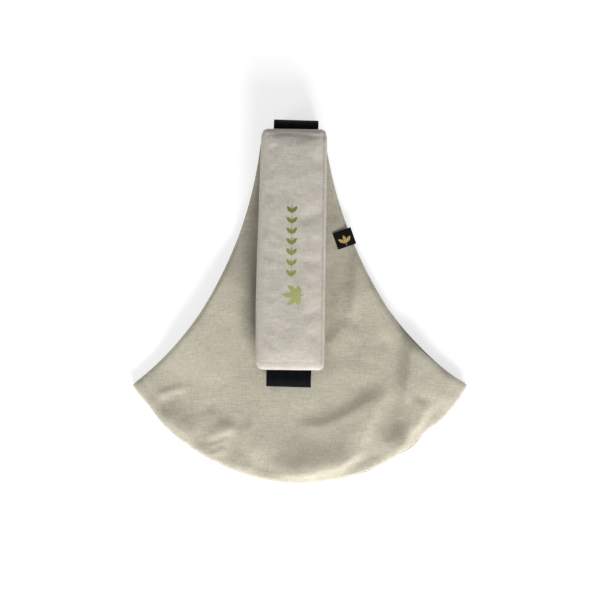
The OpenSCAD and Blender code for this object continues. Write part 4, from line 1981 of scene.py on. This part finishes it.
    def build(self) -> None:
        """Builds the pad."""
        nodes = ("pad_front_cover", "pad_front_foam", "pad_end_hem")
        front = PadLeaf("pad_front", nodes, "pad_flap", 1, self.canvas, reach=-1.7 * MM)
        nodes = ("pad_back_cover", "pad_back_foam")
        back = PadLeaf("pad_back", nodes, "pad", -1, self.canvas, reach=-0.3 * MM, short=self.short)
        upper, lower = front.build(), back.build()
        log.info("pad leaves: %s, %s", upper.name, lower.name)
        fold = self.spine()
        tapes = [self.tape("loop_tape", "pad", self.loops), self.tape("hook_tape", "pad_flap", self.hooks)]
        sewn = self.stitching(front, upper)
        log.info("pad fold, tapes, stitches: %s, %s, %s", fold.name, [t.name for t in tapes], sewn.name)
        bar, sprig = Span.of(PAD, "pad_print_bar"), Span.of(PAD, "pad_print_emblem")
        row = []
        for i in range(self.pairs):
            root = bar.v0 + 2 * MM + i * self.pair_pitch
            row += [(bar.middle, root, turn, 9.4 * MM, 4.0 * MM) for turn in (-self.splay, self.splay)]
            row.append((bar.middle, root - 2 * MM, 0, 11.8 * MM, 1.1 * MM))
        fan_u, fan_v = sprig.u1 - 4 * MM, (sprig.v0 + sprig.v1) / 2
        fan = [
            (fan_u, fan_v, 90 + a, (9 + 11.5 * math.cos(math.radians(a))) * MM, 6.0 * MM)
            for a in (k * self.splay for k in range(-2, 3))
        ]
        fan.append((fan_u + 4 * MM, fan_v, 90, 6 * MM, 1.6 * MM))
        made = [
            self.printed("printed_row", "pad_print_bar", row, upper, self.bar_ink),
            self.printed("printed_sprig", "pad_print_emblem", fan, upper, self.sprig_ink),
        ]
        log.info("pad prints: %s", [m.name for m in made])


# ---------------------------------------------------------------- the studio


@dataclass(frozen=True)
class Lamp:
    """One soft square light: where it hangs, its size and power."""

    name: str
    place: tuple[float, float, float]
    size: float
    power: float

    def hang(self) -> None:
        """Hangs the light, aimed at the carrier."""
        data = bpy.data.lights.new(self.name, "AREA")
        data.size = self.size
        data.energy = self.power
        obj = Bench.link(self.name, data)
        obj.location = self.place
        obj.rotation_euler = (-Vector(self.place)).to_track_quat("-Z", "Y").to_euler()


@dataclass
class Studio:
    """Floor, lights and camera."""

    floor_finish: Finish
    width: float = 0.690
    height: float = 2.6
    carrier_middle: float = 0.012
    sensor: float = 36.0
    spread: float = 120.0
    ambient: float = 0.385
    wall: float = 0.12
    lamps: tuple[Lamp, ...] = (
        Lamp("key", (0.50, -1.82, 0.95), 0.85, 65.0),
        Lamp("fill", (-1.5, -0.7, 0.9), 0.8, 9.0),
    )

    def floor(self) -> None:
        """Lays the floor."""
        level = CAD_BOX[0].z - 0.2 * MM

        def place(s: Array, t: Array) -> Array:
            """Places points of the unit square."""
            return stack((s - 0.5) * self.spread, (t - 0.5) * self.spread, np.full(len(s), level))

        obj = Bench.grid("studio_floor", 4, 4, place)
        obj.data.materials.append(self.floor_finish)

    def camera(self) -> None:
        """Hangs the camera straight above the middle of the carrier."""
        data = bpy.data.cameras.new("camera")
        data.sensor_width = self.sensor
        data.lens = self.sensor * (self.height - self.carrier_middle) / self.width
        data.clip_end = 2 * self.spread
        obj = Bench.link("camera", data)
        obj.location = (0.0, 0.0, self.height)
        bpy.context.scene.camera = obj

    def light(self) -> None:
        """Lights the room softly, with the key from the seat's side."""
        world = bpy.data.worlds.new("room")
        world.use_nodes = True
        nodes, links = world.node_tree.nodes, world.node_tree.links
        split, ramp = nodes.new("ShaderNodeSeparateXYZ"), nodes.new("ShaderNodeValToRGB")
        low, high = ramp.color_ramp.elements
        low.position, low.color = self.wall, (1.0, 1.0, 1.0, 1.0)
        high.position, high.color = self.wall * 1.8, (self.ambient,) * 3 + (1.0,)
        links.new(nodes.new("ShaderNodeTexCoord").outputs["Generated"], split.inputs[0])
        links.new(split.outputs["Z"], ramp.inputs["Fac"])
        links.new(ramp.outputs["Color"], nodes["Background"].inputs["Color"])
        bpy.context.scene.world = world
        for lamp in self.lamps:
            lamp.hang()
        bpy.context.scene.view_settings.view_transform = "Standard"

    def build(self) -> None:
        """Sets the studio up."""
        self.floor()
        self.camera()
        self.light()
        log.info("studio: floor, camera and %d lamps", len(self.lamps))


def main() -> None:
    """Builds every sub-assembly in order."""
    logging.basicConfig(level=logging.INFO, format="%(message)s")
    Studio(FloorFinish().make()).build()
    canvas = CanvasFinish("canvas", (0.448, 0.417, 0.332)).make()
    # painted shade: the back panel's canvas is a darker copy of the front's, so its peeking edges read as shaded
    shade = CanvasFinish("canvas_underside", (0.40, 0.375, 0.30)).make()
    lining = CanvasFinish("lining", (0.30, 0.28, 0.23), pitch=0.6 * MM, depth=0.08 * MM).make()
    pad_canvas = CanvasFinish("pad_canvas", (0.50, 0.465, 0.405), turn=PAD.tilt, heather=0.16).make()
    thread = SatinFinish("khaki_thread", (0.62, 0.58, 0.50), 0.3 * MM, gloss=0.7).make()
    black_thread = SatinFinish("black_thread", (0.02, 0.02, 0.024), 0.3 * MM).make()
    webbing = WebbingFinish("black_webbing").make()
    elastic = SatinFinish("black_elastic", (0.006, 0.006, 0.008), 1.1 * MM, "X", gloss=0.7, shine=0.2).make()
    Pouch(canvas, lining, shade, thread).build()
    label_cloth = SatinFinish("label_cloth", (0.004, 0.004, 0.005), 0.45 * MM, "Y", TAB.tilt, 0.5, 0.15).make()
    gold = SatinFinish("gold_thread", (0.50, 0.34, 0.11), 0.4 * MM, "X", TAB.tilt, 0.4).make()
    SideLabel(label_cloth, gold).build()
    ShoulderStrap(webbing, elastic, black_thread).build()
    Buckle(PlasticFinish("moulded_black").make()).build()
    bar_ink = InkFinish("olive_ink", (0.27, 0.28, 0.085), (0.165, 0.165, 0.045), "pad_print_bar").make()
    sprig_ink = InkFinish("light_olive_ink", (0.36, 0.375, 0.16), (0.31, 0.32, 0.12), "pad_print_emblem").make()
    hooks = PileFinish("hook_pile", (0.10, 0.09, 0.08), 1500.0).make()
    loops = PileFinish("loop_pile", (0.14, 0.13, 0.11), 900.0).make()
    ShoulderPad(pad_canvas, thread, hooks, loops, bar_ink, sprig_ink).build()


if __name__ == "__main__":
    main()
